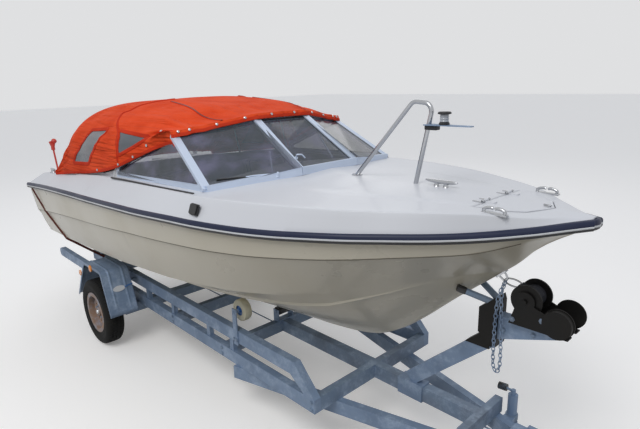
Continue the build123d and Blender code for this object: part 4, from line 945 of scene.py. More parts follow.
    def build_locker(self) -> None:
        """The anchor locker's tray and the fixed halves of its lid's hinges."""
        low, sunk = 1.45, 0.012
        lip = np.array([(0.744, -0.228), (0.875, -0.204), (0.951, -0.139), (1.018, 0), (0.951, 0.139),
                        (0.875, 0.204), (0.744, 0.228)])
        lip = np.concatenate(
            [a + (b - a) * np.linspace(0, 1, 9)[:-1, None] for a, b in zip(lip, np.roll(lip, -1, axis=0))])
        floor = np.column_stack(
            [0.765 + (lip[:, 0] - 0.744) * 0.64, lip[:, 1] * 0.44, np.full(len(lip), low)])
        brim = np.column_stack([lip, [DeckFittings.deck_height(x, y) - sunk for x, y in lip]])
        rows = [floor * np.array([0, 0, 1]) + np.append(floor[:, :2].mean(axis=0), 0), floor, brim]
        Mesher("locker_tray").add(np.stack(rows), closed=True).build(
            [self.finishes.deck_gelcoat], "gelcoat", closed=False, angle=30, solid=0.003)
        mesher = Mesher("locker_hinge_lugs")
        hinge_x, hinge_z, leaf = 0.742, 1.632, 0.05
        for y in (-0.115, 0.115):
            mesher.tube(np.array([(hinge_x, y - 0.036, hinge_z), (hinge_x, y + 0.036, hinge_z)]), 0.003)
            for end in (y - 0.036, y + 0.024):
                barrel = [(0, 0), (0.005, 0), (0.006, 0.001), (0.006, 0.011), (0.005, 0.012), (0, 0.012)]
                mesher.lathe(barrel, (hinge_x, end, hinge_z), (0, 1, 0), segments=24)
                mesher.box(
                    (hinge_x - leaf, hinge_x - 0.003), (end, end + 0.012), (1.621, 1.629), round_edge=0.002)
        mesher.build([self.finishes.steel], "stainless")

    def build_coaming(self) -> None:
        """The coaming panels beside the cockpit, aft of the windscreen."""
        mesher = Mesher("coaming")
        for side in (-1, 1):
            outline = np.array([(x, side * 0.792, z) for x, z in self.coaming])
            mesher.prism(outline, (0, side * 0.03, 0))
        mesher.build([self.finishes.deck_gelcoat], "gelcoat", angle=20)


@dataclass
class RubRail:
    """Rub rail round the sheer: navy above, a white stripe, black below."""

    finishes: Finishes
    stern: float = -3.612
    stem: float = 1.185
    fan: int = 13
    profile: tuple = (
        (-0.004, 0.002), (0.008, 0.003), (0.015, -0.001), (0.019, -0.009), (0.02, -0.017),
        (0.0195, -0.021), (0.0205, -0.0225), (0.0205, -0.0285), (0.0195, -0.03), (0.02, -0.034),
        (0.018, -0.04), (0.012, -0.0445), (-0.004, -0.045))
    bands: tuple = ((0, 6, 0), (5, 9, 1), (8, 13, 2))

    def build(self) -> None:
        """Carry the rail's rounded profile round the sheer from stern to stern.

        Formula: the profile's points lie outwards along the sheer line's own normal in plan
        and down from its height; the bow is closed by a half turn about the tip.
        """
        x = self.stern + (self.stem - self.stern) * np.linspace(0, 1, 150) ** 0.85
        s = stations(np.clip(x, OFFSETS[0, 0], self.stem))
        slope = np.gradient(s["rail_y"], x)
        out = unit(np.stack([-slope, np.ones_like(slope)], axis=1))
        swell = np.clip((x - 0.75) / 0.4, 0, 1)
        out[:, 1] *= 1 + 1.1 * swell**2 * (3 - 2 * swell)
        base = np.stack([x, s["rail_y"]], axis=1)
        turn = np.linspace(0, 1, self.fan + 1)[1:]
        tip = base[-1]
        first = math.atan2(out[-1, 1], out[-1, 0])
        fan = first * (1 - turn)
        arc = np.stack([np.cos(fan), np.sin(fan)], axis=1)
        middle = np.stack([np.full(self.fan, tip[0]), tip[1] * (1 - turn)], axis=1)
        plan = np.concatenate([base, middle])
        normal = np.concatenate([out, arc])
        level = np.concatenate([s["rail_z"], np.full(self.fan, s["rail_z"][-1])])
        plan = np.concatenate([plan, (plan * np.array([1, -1]))[::-1][1:]])
        normal = np.concatenate([normal, (normal * np.array([1, -1]))[::-1][1:]])
        level = np.concatenate([level, level[::-1][1:]])
        mesher = Mesher("rub_rail_band")
        for start, end, index in self.bands:
            part = np.array(self.profile[start:end])
            xy = plan[:, None] + normal[:, None] * part[None, :, 0, None]
            z = level[:, None] + part[None, :, 1]
            mesher.add(np.concatenate([xy, z[..., None]], axis=-1), index)
        mesher.build([self.finishes.navy, self.finishes.white_stripe, self.finishes.black_rail],
                     "rail_rubber", ("rub_rail",), closed=False, angle=50)


@dataclass
class Hood:
    """Cloth hood from the windscreen's head to the after deck: windows, seams, hem and studs."""

    finishes: Finishes
    sections: tuple = (
        (-0.86, 0.739, 1.852, 1.985, 2.6), (-1.06, 0.749, 1.836, 2.03, 2.6), (-1.4, 0.794, 1.738, 2.078, 2.7),
        (-1.72, 0.849, 1.626, 2.092, 2.8), (-2.15, 0.862, 1.545, 2.092, 2.9),
        (-2.6, 0.852, 1.492, 2.055, 2.9), (-2.9, 0.842, 1.456, 1.83, 2.7), (-3.13, 0.836, 1.432, 1.5, 2.6))
    bows: tuple = (-1.79, -2.6)
    head: tuple = ((0.0, -0.864), (0.213, -0.864), (0.731, -1.05), (0.9, -1.111))
    head_height: tuple = ((0.0, 2.006), (0.213, 2.004), (0.711, 1.921), (0.8, 1.902))
    settle: float = 0.34
    overhang: float = 0.026
    over_bar: float = 0.013
    tuck: float = 2.8
    aft: float = -3.13
    cloth: float = 0.0012
    hem: float = 0.024
    welt: float = 0.028
    windows: tuple = (((-2.24, 1.873), (-1.916, 1.896), (-2.202, 1.613), (-2.545, 1.588)),
                      ((-1.708, 1.892), (-1.304, 1.865), (-1.657, 1.718)))
    seam: tuple = (
        (-1.772, 0.293, 2.083), (-1.821, 0.393, 2.072), (-1.913, 0.512, 2.048), (-1.942, 0.621, 2.009),
        (-1.855, 0.719, 1.951), (-1.669, 0.813, 1.827), (-1.666, 0.835, 1.68))
    zip_line: tuple = (
        (-1.683, 0.375, 2.073), (-1.415, 0.412, 2.056), (-1.163, 0.447, 2.022), (-0.999, 0.438, 2.0),
        (-0.938, 0.42, 1.984))
    studs: tuple = (
        (-2.021, 0.856, 1.585), (-1.655, 0.833, 1.66), (-1.48, 0.803, 1.724), (-1.311, 0.776, 1.787),
        (-1.132, 0.747, 1.861), (-1.024, 0.707, 1.903), (-0.999, 0.638, 1.933), (-0.939, 0.473, 1.95),
        (-0.876, 0.295, 1.966), (-0.846, 0.1, 1.972))

    def shape(self, x: Array) -> list[Array]:
        """Half breadth, lower edge, top and fullness of the section at each station."""
        table = np.array(self.sections)[::-1]
        held = np.clip(x, table[0, 0], table[-1, 0])
        return [pchip(table[:, 0], table[:, k], held.ravel()).reshape(held.shape) for k in range(1, 5)]

    def point(self, x: Array, turn: Array) -> Array:
        """The hood's surface, one point for each station and angle.

        Formula: a superellipse over the lower edge, easing forward into the line of the
        windscreen's head and turning down over its bar; between the bows the cloth hangs in a
        little, and long folds run along it.

        Args:
            x: Stations.
            turn: Angles round the section, 0 to port and pi to starboard.

        Returns:
            Points.
        """
        half, low, top, full = self.shape(x)
        c, s = np.cos(turn), np.maximum(np.sin(turn), 0)
        y = half * np.sign(c) * np.abs(c) ** (2 / full)
        z = low + (top - low) * s ** (2 / full)
        head_x = np.interp(np.abs(y), *np.array(self.head).T)
        share = np.clip(1 - (head_x - x) / self.settle, 0, 1)
        share = share**2 * (3 - 2 * share)
        z = z + (np.interp(np.abs(y), *np.array(self.head_height).T) - z) * share * (s > 0.02)
        past = np.maximum(x - head_x - self.over_bar, 0)
        inwards = self.slack(x, s, np.abs(c))
        return np.stack([x, y - inwards * c * np.abs(c), z - inwards * s - self.tuck * past], axis=-1)

    def slack(self, x: Array, height: Array, side: Array) -> Array:
        """How far the cloth lies inside the drawn shape.

        Formula: a sag between the bows, plus folds: sines across the height whose phase
        drifts along the hood, so that they fan out forward from the seam.
        """
        near = np.exp(-(((x[..., None] - np.array(self.bows)) / 0.14) ** 2)).max(axis=-1)
        calm = np.clip((-0.9 - x) / 0.25, 0, 1) * (1 - near)
        fan = (x + 1.9) * (height - 0.8) * 9
        long_folds = np.sin(19 * height + fan + 1.6 * np.sin(2.3 * x + 4 * side))
        fine_folds = np.sin(47 * height - 1.5 * fan + 2.4 * np.sin(3.7 * x) + 3)
        gathers = np.sin(21 * x + 7 * height) * np.exp(-((height - 0.25) / 0.2) ** 2)
        folds = 0.011 * long_folds * np.abs(long_folds) ** 0.5 + 0.006 * fine_folds + 0.004 * gathers
        panes = np.exp(-(((x[..., None] - np.array((-2.22, -1.56))) / 0.26) ** 4)).max(axis=-1)
        folds = folds * (1 - 0.8 * panes * np.clip(side * 1.5 - 0.3, 0, 1))
        return 0.01 - 0.008 * near + calm * (0.008 * height + folds * side**0.4)

    def turn_from(self, x: Array, y: Array | None, z: Array | None) -> Array:
        """Angle round the section of a point near the surface, from height and breadth or one of them."""
        half, low, top, full = self.shape(x)
        sine = 0 if z is None else np.clip((z - low) / (top - low), 0, 1) ** (full / 2)
        if y is None:
            return np.arcsin(sine)
        if z is None:
            return np.arccos(np.clip(np.abs(y) / half, 0, 1) ** (full / 2))
        return np.arctan2(sine, np.clip(np.abs(y) / half, 0, 1) ** (full / 2))

    def lay(self, x: Array, turn: Array, side: int, lift: float = 0.0) -> Pair:
        """Points on one side of the hood and the directions away from it there."""
        at = turn if side > 0 else math.pi - turn
        here = self.point(x, at)
        normal = unit(np.cross(self.point(x + 1e-3, at) - here, self.point(x, at + 1e-3) - here))
        outwards = here * np.array([0, 1, 1]) - np.array([0, 0, 1.6])
        normal *= np.where((normal * outwards).sum(axis=-1, keepdims=True) < 0, -1.0, 1.0)
        return here + normal * lift, normal

    def on_cloth(self, line: Array, side: int, lift: float = 0.0) -> Pair:
        """A line of x, y and z laid on one side of the hood, and the directions away from it."""
        return self.lay(line[:, 0], self.turn_from(*line.T), side, lift)

    def from_side(self, flat: Array, side: int, lift: float = 0.0) -> Pair:
        """Points of x and z laid on one side of the hood, and the directions away from it."""
        return self.lay(flat[..., 0], self.turn_from(flat[..., 0], None, flat[..., 1]), side, lift)

    def even_turns(self, count: int) -> Array:
        """Angles from 0 to pi whose points are evenly spaced round the section amidships."""
        fine = np.linspace(0, math.pi / 2, 600)
        ring = self.point(np.full(600, -2.0), fine)
        length = lengths(ring)
        half = np.interp(np.linspace(0, length[-1], count // 2), length, fine)
        return np.concatenate([half, math.pi - half[::-1][1:]])

    def cloth_grid(self) -> Array:
        """The whole cloth: from the head's line, which is further aft at the sides, to the after hem."""
        turn = self.even_turns(212)
        half, _, _, full = self.shape(np.full(turn.shape, -0.95))
        breadth = half * np.abs(np.cos(turn)) ** (2 / full)
        front = np.interp(breadth, *np.array(self.head).T) + self.overhang
        share = np.linspace(0, 1, 172)[:, None] ** 1.25
        x = front + (self.aft - front) * share
        return self.point(x, np.broadcast_to(turn, x.shape))

    def inside_windows(self, grid: Array) -> Array:
        """Which quads of the grid have their middle inside a window, seen from the side."""
        middle = (grid[:-1, :-1] + grid[1:, 1:]) / 2
        found = np.zeros(middle.shape[:2], bool)
        for window in self.windows:
            corners = np.array(window)
            edges = np.roll(corners, -1, axis=0) - corners
            away = middle[..., None, [0, 2]] - corners
            turned = edges[:, 0] * away[..., 1] - edges[:, 1] * away[..., 0]
            found |= (turned > 0).all(axis=-1) | (turned < 0).all(axis=-1)
        return found & (np.abs(middle[..., 1]) > 0.5)

    def build(self) -> None:
        grid = self.cloth_grid()
        keep = ~self.inside_windows(grid)
        cloth = Mesher("hood_cloth").add(grid, keep=keep).build(
            [self.finishes.canvas], "canvas", ("hood",), closed=False, angle=80, solid=self.cloth)
        pieces = [self.build_windows(), self.build_trim(grid), self.build_studs()]

    def build_windows(self) -> bpy.types.Object:
        """Windows of clear vinyl, drawn dark and nearly opaque as painted shade of the hood's inside, each a
        patch between its corners, laid just inside the cloth.
        """
        mesher = Mesher("hood_windows")
        share = np.linspace(-0.03, 1.03, 24)
        for side in (-1, 1):
            for window in self.windows:
                a, b, c, d = (np.array(corner) for corner in (*window, window[-1])[:4])
                u, v = share[:, None, None], share[None, :, None]
                flat = (a * (1 - u) + b * u) * (1 - v) + (d * (1 - u) + c * u) * v
                mesher.add(self.from_side(flat, side, -0.0015)[0])
        return mesher.build([self.finishes.window_vinyl_painted_shade], "clear_pane", closed=False, angle=80, solid=0.0006)

    def build_trim(self, grid: Array) -> bpy.types.Object:
        """Hem round the cloth, welts round the windows, the bow's seam and the zips."""
        mesher = Mesher("hood_trim")

        def edge(values: Array) -> Array:
            """Values round the grid, one row in from its edge."""
            inner = values[1:-1, 1:-1]
            return np.concatenate([inner[0], inner[1:, -1], inner[-1, -2::-1], inner[-2:0:-1, 0]])

        normals = unit(np.cross(np.gradient(grid, axis=1), np.gradient(grid, axis=0)))
        normals *= np.sign((normals * (grid * np.array([0, 1, 1]) - np.array([0, 0, 1.6]))).sum())
        mesher.ribbon(edge(grid), edge(normals), self.hem, 0.0035, 1, ring=True)
        for side in (-1, 1):
            for window in self.windows:
                mesher.ribbon(*self.from_side(rounded(window, 0.03), side), self.welt, 0.0035, 1, ring=True)
            for line, width, material in (
                    (self.seam, 0.022, 1), (self.zip_line, 0.02, 1), (self.zip_line, 0.006, 2)):
                laid = self.on_cloth(smooth_path(line, 0.015), side)
                mesher.ribbon(*laid, width, 0.0035 if material == 1 else 0.0055, material)
            mesher.tube(self.on_cloth(smooth_path(self.seam, 0.015), side, 0.004)[0], 0.004, 1, 10)
        return mesher.build(
            [self.finishes.canvas, self.finishes.hem, self.finishes.black_plastic], "canvas", angle=60)

    def build_studs(self) -> bpy.types.Object:
        """Press studs along the lower and front hems."""
        mesher = Mesher("hood_studs")
        dome = [(0.0095, -0.001), (0.0095, 0.001), (0.0085, 0.003), (0.005, 0.0048), (0.0, 0.0054)]
        for side in (-1, 1):
            spots = np.array(self.studs)
            turn = np.where(
                spots[:, 0] > -1.1, self.turn_from(spots[:, 0], spots[:, 1], None), self.turn_from(*spots.T))
            points, normal = self.lay(spots[:, 0], turn, side, 0.005)
            for at, away in zip(points, normal):
                mesher.lathe(dome, at, away, segments=14)
        return mesher.build([self.finishes.steel], "stainless", closed=False)

    @staticmethod
    def area_of(grid: Array, keep: Array) -> float:
        """Area of a grid's kept quads, each taken as two triangles."""
        a, b, c, d = grid[:-1, :-1], grid[1:, :-1], grid[1:, 1:], grid[:-1, 1:]
        first = np.linalg.norm(np.cross(b - a, c - a), axis=-1)
        second = np.linalg.norm(np.cross(c - a, d - a), axis=-1)
        return float(((first + second) * keep).sum() / 2)


@dataclass
class ScreenFittings:
    """Black beading round the panes, wiper, catches and stays of the windscreen."""

    finishes: Finishes
    corner: tuple = ((-0.584, 0.793, 1.612), (-1.056, 0.711, 1.88))
    centre: tuple = ((-0.399, 0.243, 1.664), (-0.876, 0.213, 1.959))
    rear: tuple = ((-1.72, 0.812, 1.572), (-1.725, 0.808, 1.64))
    wiper: tuple = ((-0.606, -0.715, 1.645), (-0.5, -0.498, 1.648), (-0.449, -0.393, 1.65))
    stays: tuple = (
        ((-0.628, -0.276, 1.775), (-0.456, -0.395, 1.653)), ((-0.682, 0.201, 1.839), (-0.466, 0.12, 1.705)))
    catches: tuple = ((-0.503, -0.192, 1.728), (-0.938, -0.324, 1.923))
    inset: float = 0.026
    bead: float = 0.0045

    def panes(self) -> list[Array]:
        """Corners of the five panes."""
        flip = np.array([1, -1, 1])
        found = []
        for side in (np.array([1, 1, 1]), flip):
            foot, head = (np.array(p) * side for p in self.corner)
            for near_foot, near_head in (self.rear, self.centre):
                found.append(np.array([foot, head, np.array(near_head) * side, np.array(near_foot) * side]))
        port, head = np.array(self.centre[0]), np.array(self.centre[1])
        found.append(np.array([port, head, head * flip, port * flip]))
        return found

    @staticmethod
    def shrink(corners: Array, gap: float) -> Array:
        """A pane's outline moved inwards in its own plane.

        Formula: each edge moves square to itself by the gap, and each corner goes to where its
        two moved edges cross.
        """
        u = unit(corners[1] - corners[0])
        n = unit(np.cross(u, corners[3] - corners[0]))
        v = np.cross(n, u)
        flat = (corners - corners[0]) @ np.stack([u, v], axis=1)
        ahead = unit(np.roll(flat, -1, axis=0) - flat)
        inward = np.stack([-ahead[:, 1], ahead[:, 0]], axis=1)
        inward *= np.sign(((flat.mean(axis=0) - flat) * inward).sum(axis=1))[:, None]
        rhs = (flat * inward).sum(axis=1) + gap
        both = np.stack([np.roll(inward, 1, axis=0), inward], axis=1)
        crossing = np.linalg.solve(both, np.stack([np.roll(rhs, 1), rhs], axis=1)[..., None])[..., 0]
        return corners[0] + crossing @ np.stack([u, v])

    def build(self) -> None:
        """Build beading, wiper and catches."""
        beading = Mesher("screen_beading")
        for corners in self.panes():
            ring = self.shrink(corners, self.inset)
            for a, b in zip(ring, np.roll(ring, -1, axis=0)):
                beading.tube(straight(a, b, 6), self.bead, sides=8)
        for side in (-1, 1):
            path = smooth_path(
                ((-1.72, side * 0.874, 0), (-1.15, side * 0.872, 0), (-0.62, side * 0.858, 0)), 0.03)
            path[:, 2] = [DeckFittings.deck_height(x, y) for x, y, _ in path]
            beading.ribbon(path, np.broadcast_to(np.array([0, side * 0.2, 0.98]), path.shape), 0.012, 0.006)
        beading.build([self.finishes.black_plastic], "black_plastic")
        f = self.finishes
        out = np.array([0.53, -0.17, 0.83])
        wiper = Mesher("screen_wiper")
        start, end, pivot = np.array(self.wiper)
        wiper.tube(straight(start, end, 8) + out * 0.016, 0.0045, 0, 8)
        wiper.tube(straight(start, end, 8) + out * 0.01, 0.003, 0, 8)
        arm = smooth_path(
            (end + out * 0.017 - (end - start) * 0.3, end + out * 0.022, pivot + out * 0.02), 0.02)
        wiper.tube(arm, 0.0042, 1, 8)
        spindle = [(0.0, 0.03), (0.006, 0.029), (0.009, 0.024), (0.01, 0.01), (0.015, 0.008), (0.016, 0.0),
                   (0.0, -0.004)]
        wiper.lathe(spindle, pivot, out, 1, 20)
        wiper.build([f.black_plastic, f.anodised], "black_plastic")
        stays = Mesher("screen_stays")
        behind = np.array([-0.03, 0, -0.008])
        for a, b in np.array(self.stays):
            stays.tube(straight(a, b, 6) + behind, 0.006, sides=12)
        for spot in self.catches:
            at = np.array(spot)
            hook = smooth_path((at + out * 0.004, at + out * 0.028, at + out * 0.04 + (0.008, 0.02, -0.01),
                                at + out * 0.036 + (0.02, 0.045, -0.03)), 0.006)
            stays.tube(hook, 0.005, sides=10)
            stays.lathe([(0.0, -0.004), (0.012, -0.003), (0.012, 0.004), (0.009, 0.007), (0.0, 0.008)], at,
                        out, segments=18)
        stays.build([f.anodised], "anodised")


@dataclass
class DeckFittings:
    """Cleats, fairleads, stem eye, side lamps, lid latch and hoop fixings."""

    finishes: Finishes
    cleats: tuple = ((0.425, 0.0, 0.2), (-3.4, 0.77, 0.12), (-3.4, -0.77, 0.12))
    fairlead_x: float = 0.865
    fairlead_y: float = 0.268
    lamp: tuple = (-0.499, 0.927, 1.54)

    @staticmethod
    def deck_height(x: float, y: float) -> float:
        """Height of the deck between its crown and crease."""
        s = stations(np.array([x]))
        return float(s["crown"][0] + (s["crease_z"][0] - s["crown"][0]) * abs(y) / s["crease_y"][0])

    def build(self) -> None:
        """Build each fitting."""
        self.build_cleats()
        self.build_eye()
        self.build_lamps()
        self.build_latch()
        self.build_mast_lamp()

    def build_mast_lamp(self) -> None:
        """White all-round lamp on its plate: black foot and cap, clear lens between, clamp on the hoop."""
        mesher = Mesher("mast_lamp_body")
        outline = rounded(
            ((0.322, -0.038, 1.951), (0.59, -0.02, 1.951), (0.59, 0.02, 1.951), (0.322, 0.038, 1.951)), 0.012)
        mesher.prism(outline, (0, 0, 0.005), 3)
        mesher.box((0.322, 0.395), (-0.02, 0.02), (1.927, 1.951), 0, 0.005)
        centre = (0.43, 0.0, 1.956)
        mesher.lathe([(0.0, 0.0), (0.027, 0.0), (0.027, 0.01), (0.023, 0.013), (0.023, 0.016)], centre,
                     (0, 0, 1), 0, 36)
        mesher.lathe([(0.0225, 0.014), (0.0235, 0.018), (0.0215, 0.024), (0.0235, 0.03), (0.0215, 0.036),
                      (0.0235, 0.042), (0.0215, 0.048), (0.0225, 0.054)], centre, (0, 0, 1), 1, 36)
        mesher.lathe([(0.023, 0.052), (0.034, 0.055), (0.0345, 0.061), (0.03, 0.066), (0.0, 0.0675)], centre,
                     (0, 0, 1), 2, 36)
        mesher.build([self.finishes.black_plastic, self.finishes.lamp_lens, self.finishes.black_plastic,
                      self.finishes.zinc], "black_plastic", ("mast_lamp",), angle=30)

    def build_cleats(self) -> None:
        """Horn cleats, each two legs on a base under a bar that tapers to its horns, and looped fairleads."""
        mesher = Mesher("deck_cleats")
        for x, y, length in self.cleats:
            z = self.deck_height(x, y)
            mesher.box((x - length / 3.2, x + length / 3.2), (y - 0.02, y + 0.02), (z - 0.003, z + 0.005),
                       round_edge=0.002)
            leg = [(0.019, 0.0), (0.0145, 0.006), (0.0125, 0.016), (0.0135, 0.028), (0.0, 0.031)]
            for offset in (-length * 0.14, length * 0.14):
                mesher.lathe(leg, (x + offset, y, z + 0.004), (0, 0, 1), segments=24)
            share = np.linspace(-1, 1, 41)
            thick = 0.0118 * np.sqrt(np.maximum(1 - np.abs(share) ** 5, 0)) * (1 - 0.35 * share**2) + 1e-5
            around = circle(16)
            height = z + 0.033 + 0.003 * share**2
            bar = grid_of((x + share * length / 2)[:, None], y + thick[:, None] * np.cos(around) * 1.2,
                          height[:, None] + thick[:, None] * np.sin(around))
            mesher.add(bar, closed=True)
        for side in (-1, 1):
            x, y = self.fairlead_x, self.fairlead_y * side
            z = self.deck_height(x, y)
            mesher.box((x - 0.06, x + 0.06), (y - 0.013, y + 0.013), (z - 0.004, z + 0.005), round_edge=0.002)
            for way in (-1, 1):
                horn = smooth_path(((x + way * 0.046, y, z + 0.002), (x + way * 0.05, y, z + 0.013),
                                    (x + way * 0.036, y, z + 0.023), (x + way * 0.014, y, z + 0.026),
                                    (x + way * 0.005, y, z + 0.023)), 0.005)
                mesher.tube(horn, 0.0075, sides=14)
        mesher.build([self.finishes.steel], "stainless", ("cleats",))

    def build_eye(self) -> None:
        """U-bolt on the stem, its legs through a plate."""
        mesher = Mesher("stem_ubolt")
        path = smooth_path(((0.768, 0, 1.24), (0.79, 0, 1.221), (0.806, 0, 1.213), (0.819, 0, 1.226),
                            (0.813, 0, 1.243), (0.795, 0, 1.262)), 0.004)
        mesher.tube(path, 0.0055, sides=14)
        along = np.array([0.73, 0, 0.68])
        out = np.array([0.68, 0, -0.73])
        middle = np.array([0.7895, 0, 1.2465])
        corners = [middle + along * a * 0.034 + np.array([0, b * 0.013, 0]) for a, b in QUARTERS]
        mesher.prism(rounded(corners, 0.008) - out * 0.004, out * 0.009)
        mesher.build([self.finishes.steel], "stainless", ("stem_eye",))

    def build_lamps(self) -> None:
        """Side lamps on the deck's flank: base, hooded body and lens strip, all of them black."""
        mesher = Mesher("side_lamp_bodies")
        for side in (-1, 1):
            x, y, z = self.lamp[0], self.lamp[1] * side, self.lamp[2]
            tilt = 0.36
            out = np.array([0.1, side * math.cos(tilt), math.sin(tilt)])
            up = np.array([0, -side * math.sin(tilt), math.cos(tilt)])
            fore = np.array([1.0, 0, 0])
            middle = np.array([x, y, z]) - out * 0.004
            for wide, tall, shift, deep in ((0.037, 0.031, 0.0, 0.011), (0.03, 0.026, -0.004, 0.019),
                                            (0.0035, 0.021, 0.0285, 0.0195)):
                outline = rounded([middle + fore * (shift + a * wide) + up * b * tall for a, b in QUARTERS],
                                  min(wide, tall) * 0.3)
                mesher.prism(outline, out * deep)
        mesher.build([self.finishes.black_plastic], "black_plastic", ("side_lamps",))

    def build_latch(self) -> None:
        """Turn-button on the anchor locker's lid."""
        z = self.deck_height(0.985, 0)
        mesher = Mesher("lid_latch")
        mesher.lathe([(0.016, -0.002), (0.016, 0.003), (0.012, 0.005), (0.0, 0.006)], (0.98, 0, z), (0, 0, 1),
                     segments=24)
        mesher.box((0.962, 1.0), (-0.004, 0.004), (z + 0.004, z + 0.011), round_edge=0.003)
        mesher.build([self.finishes.steel], "stainless", body=Body.LID)


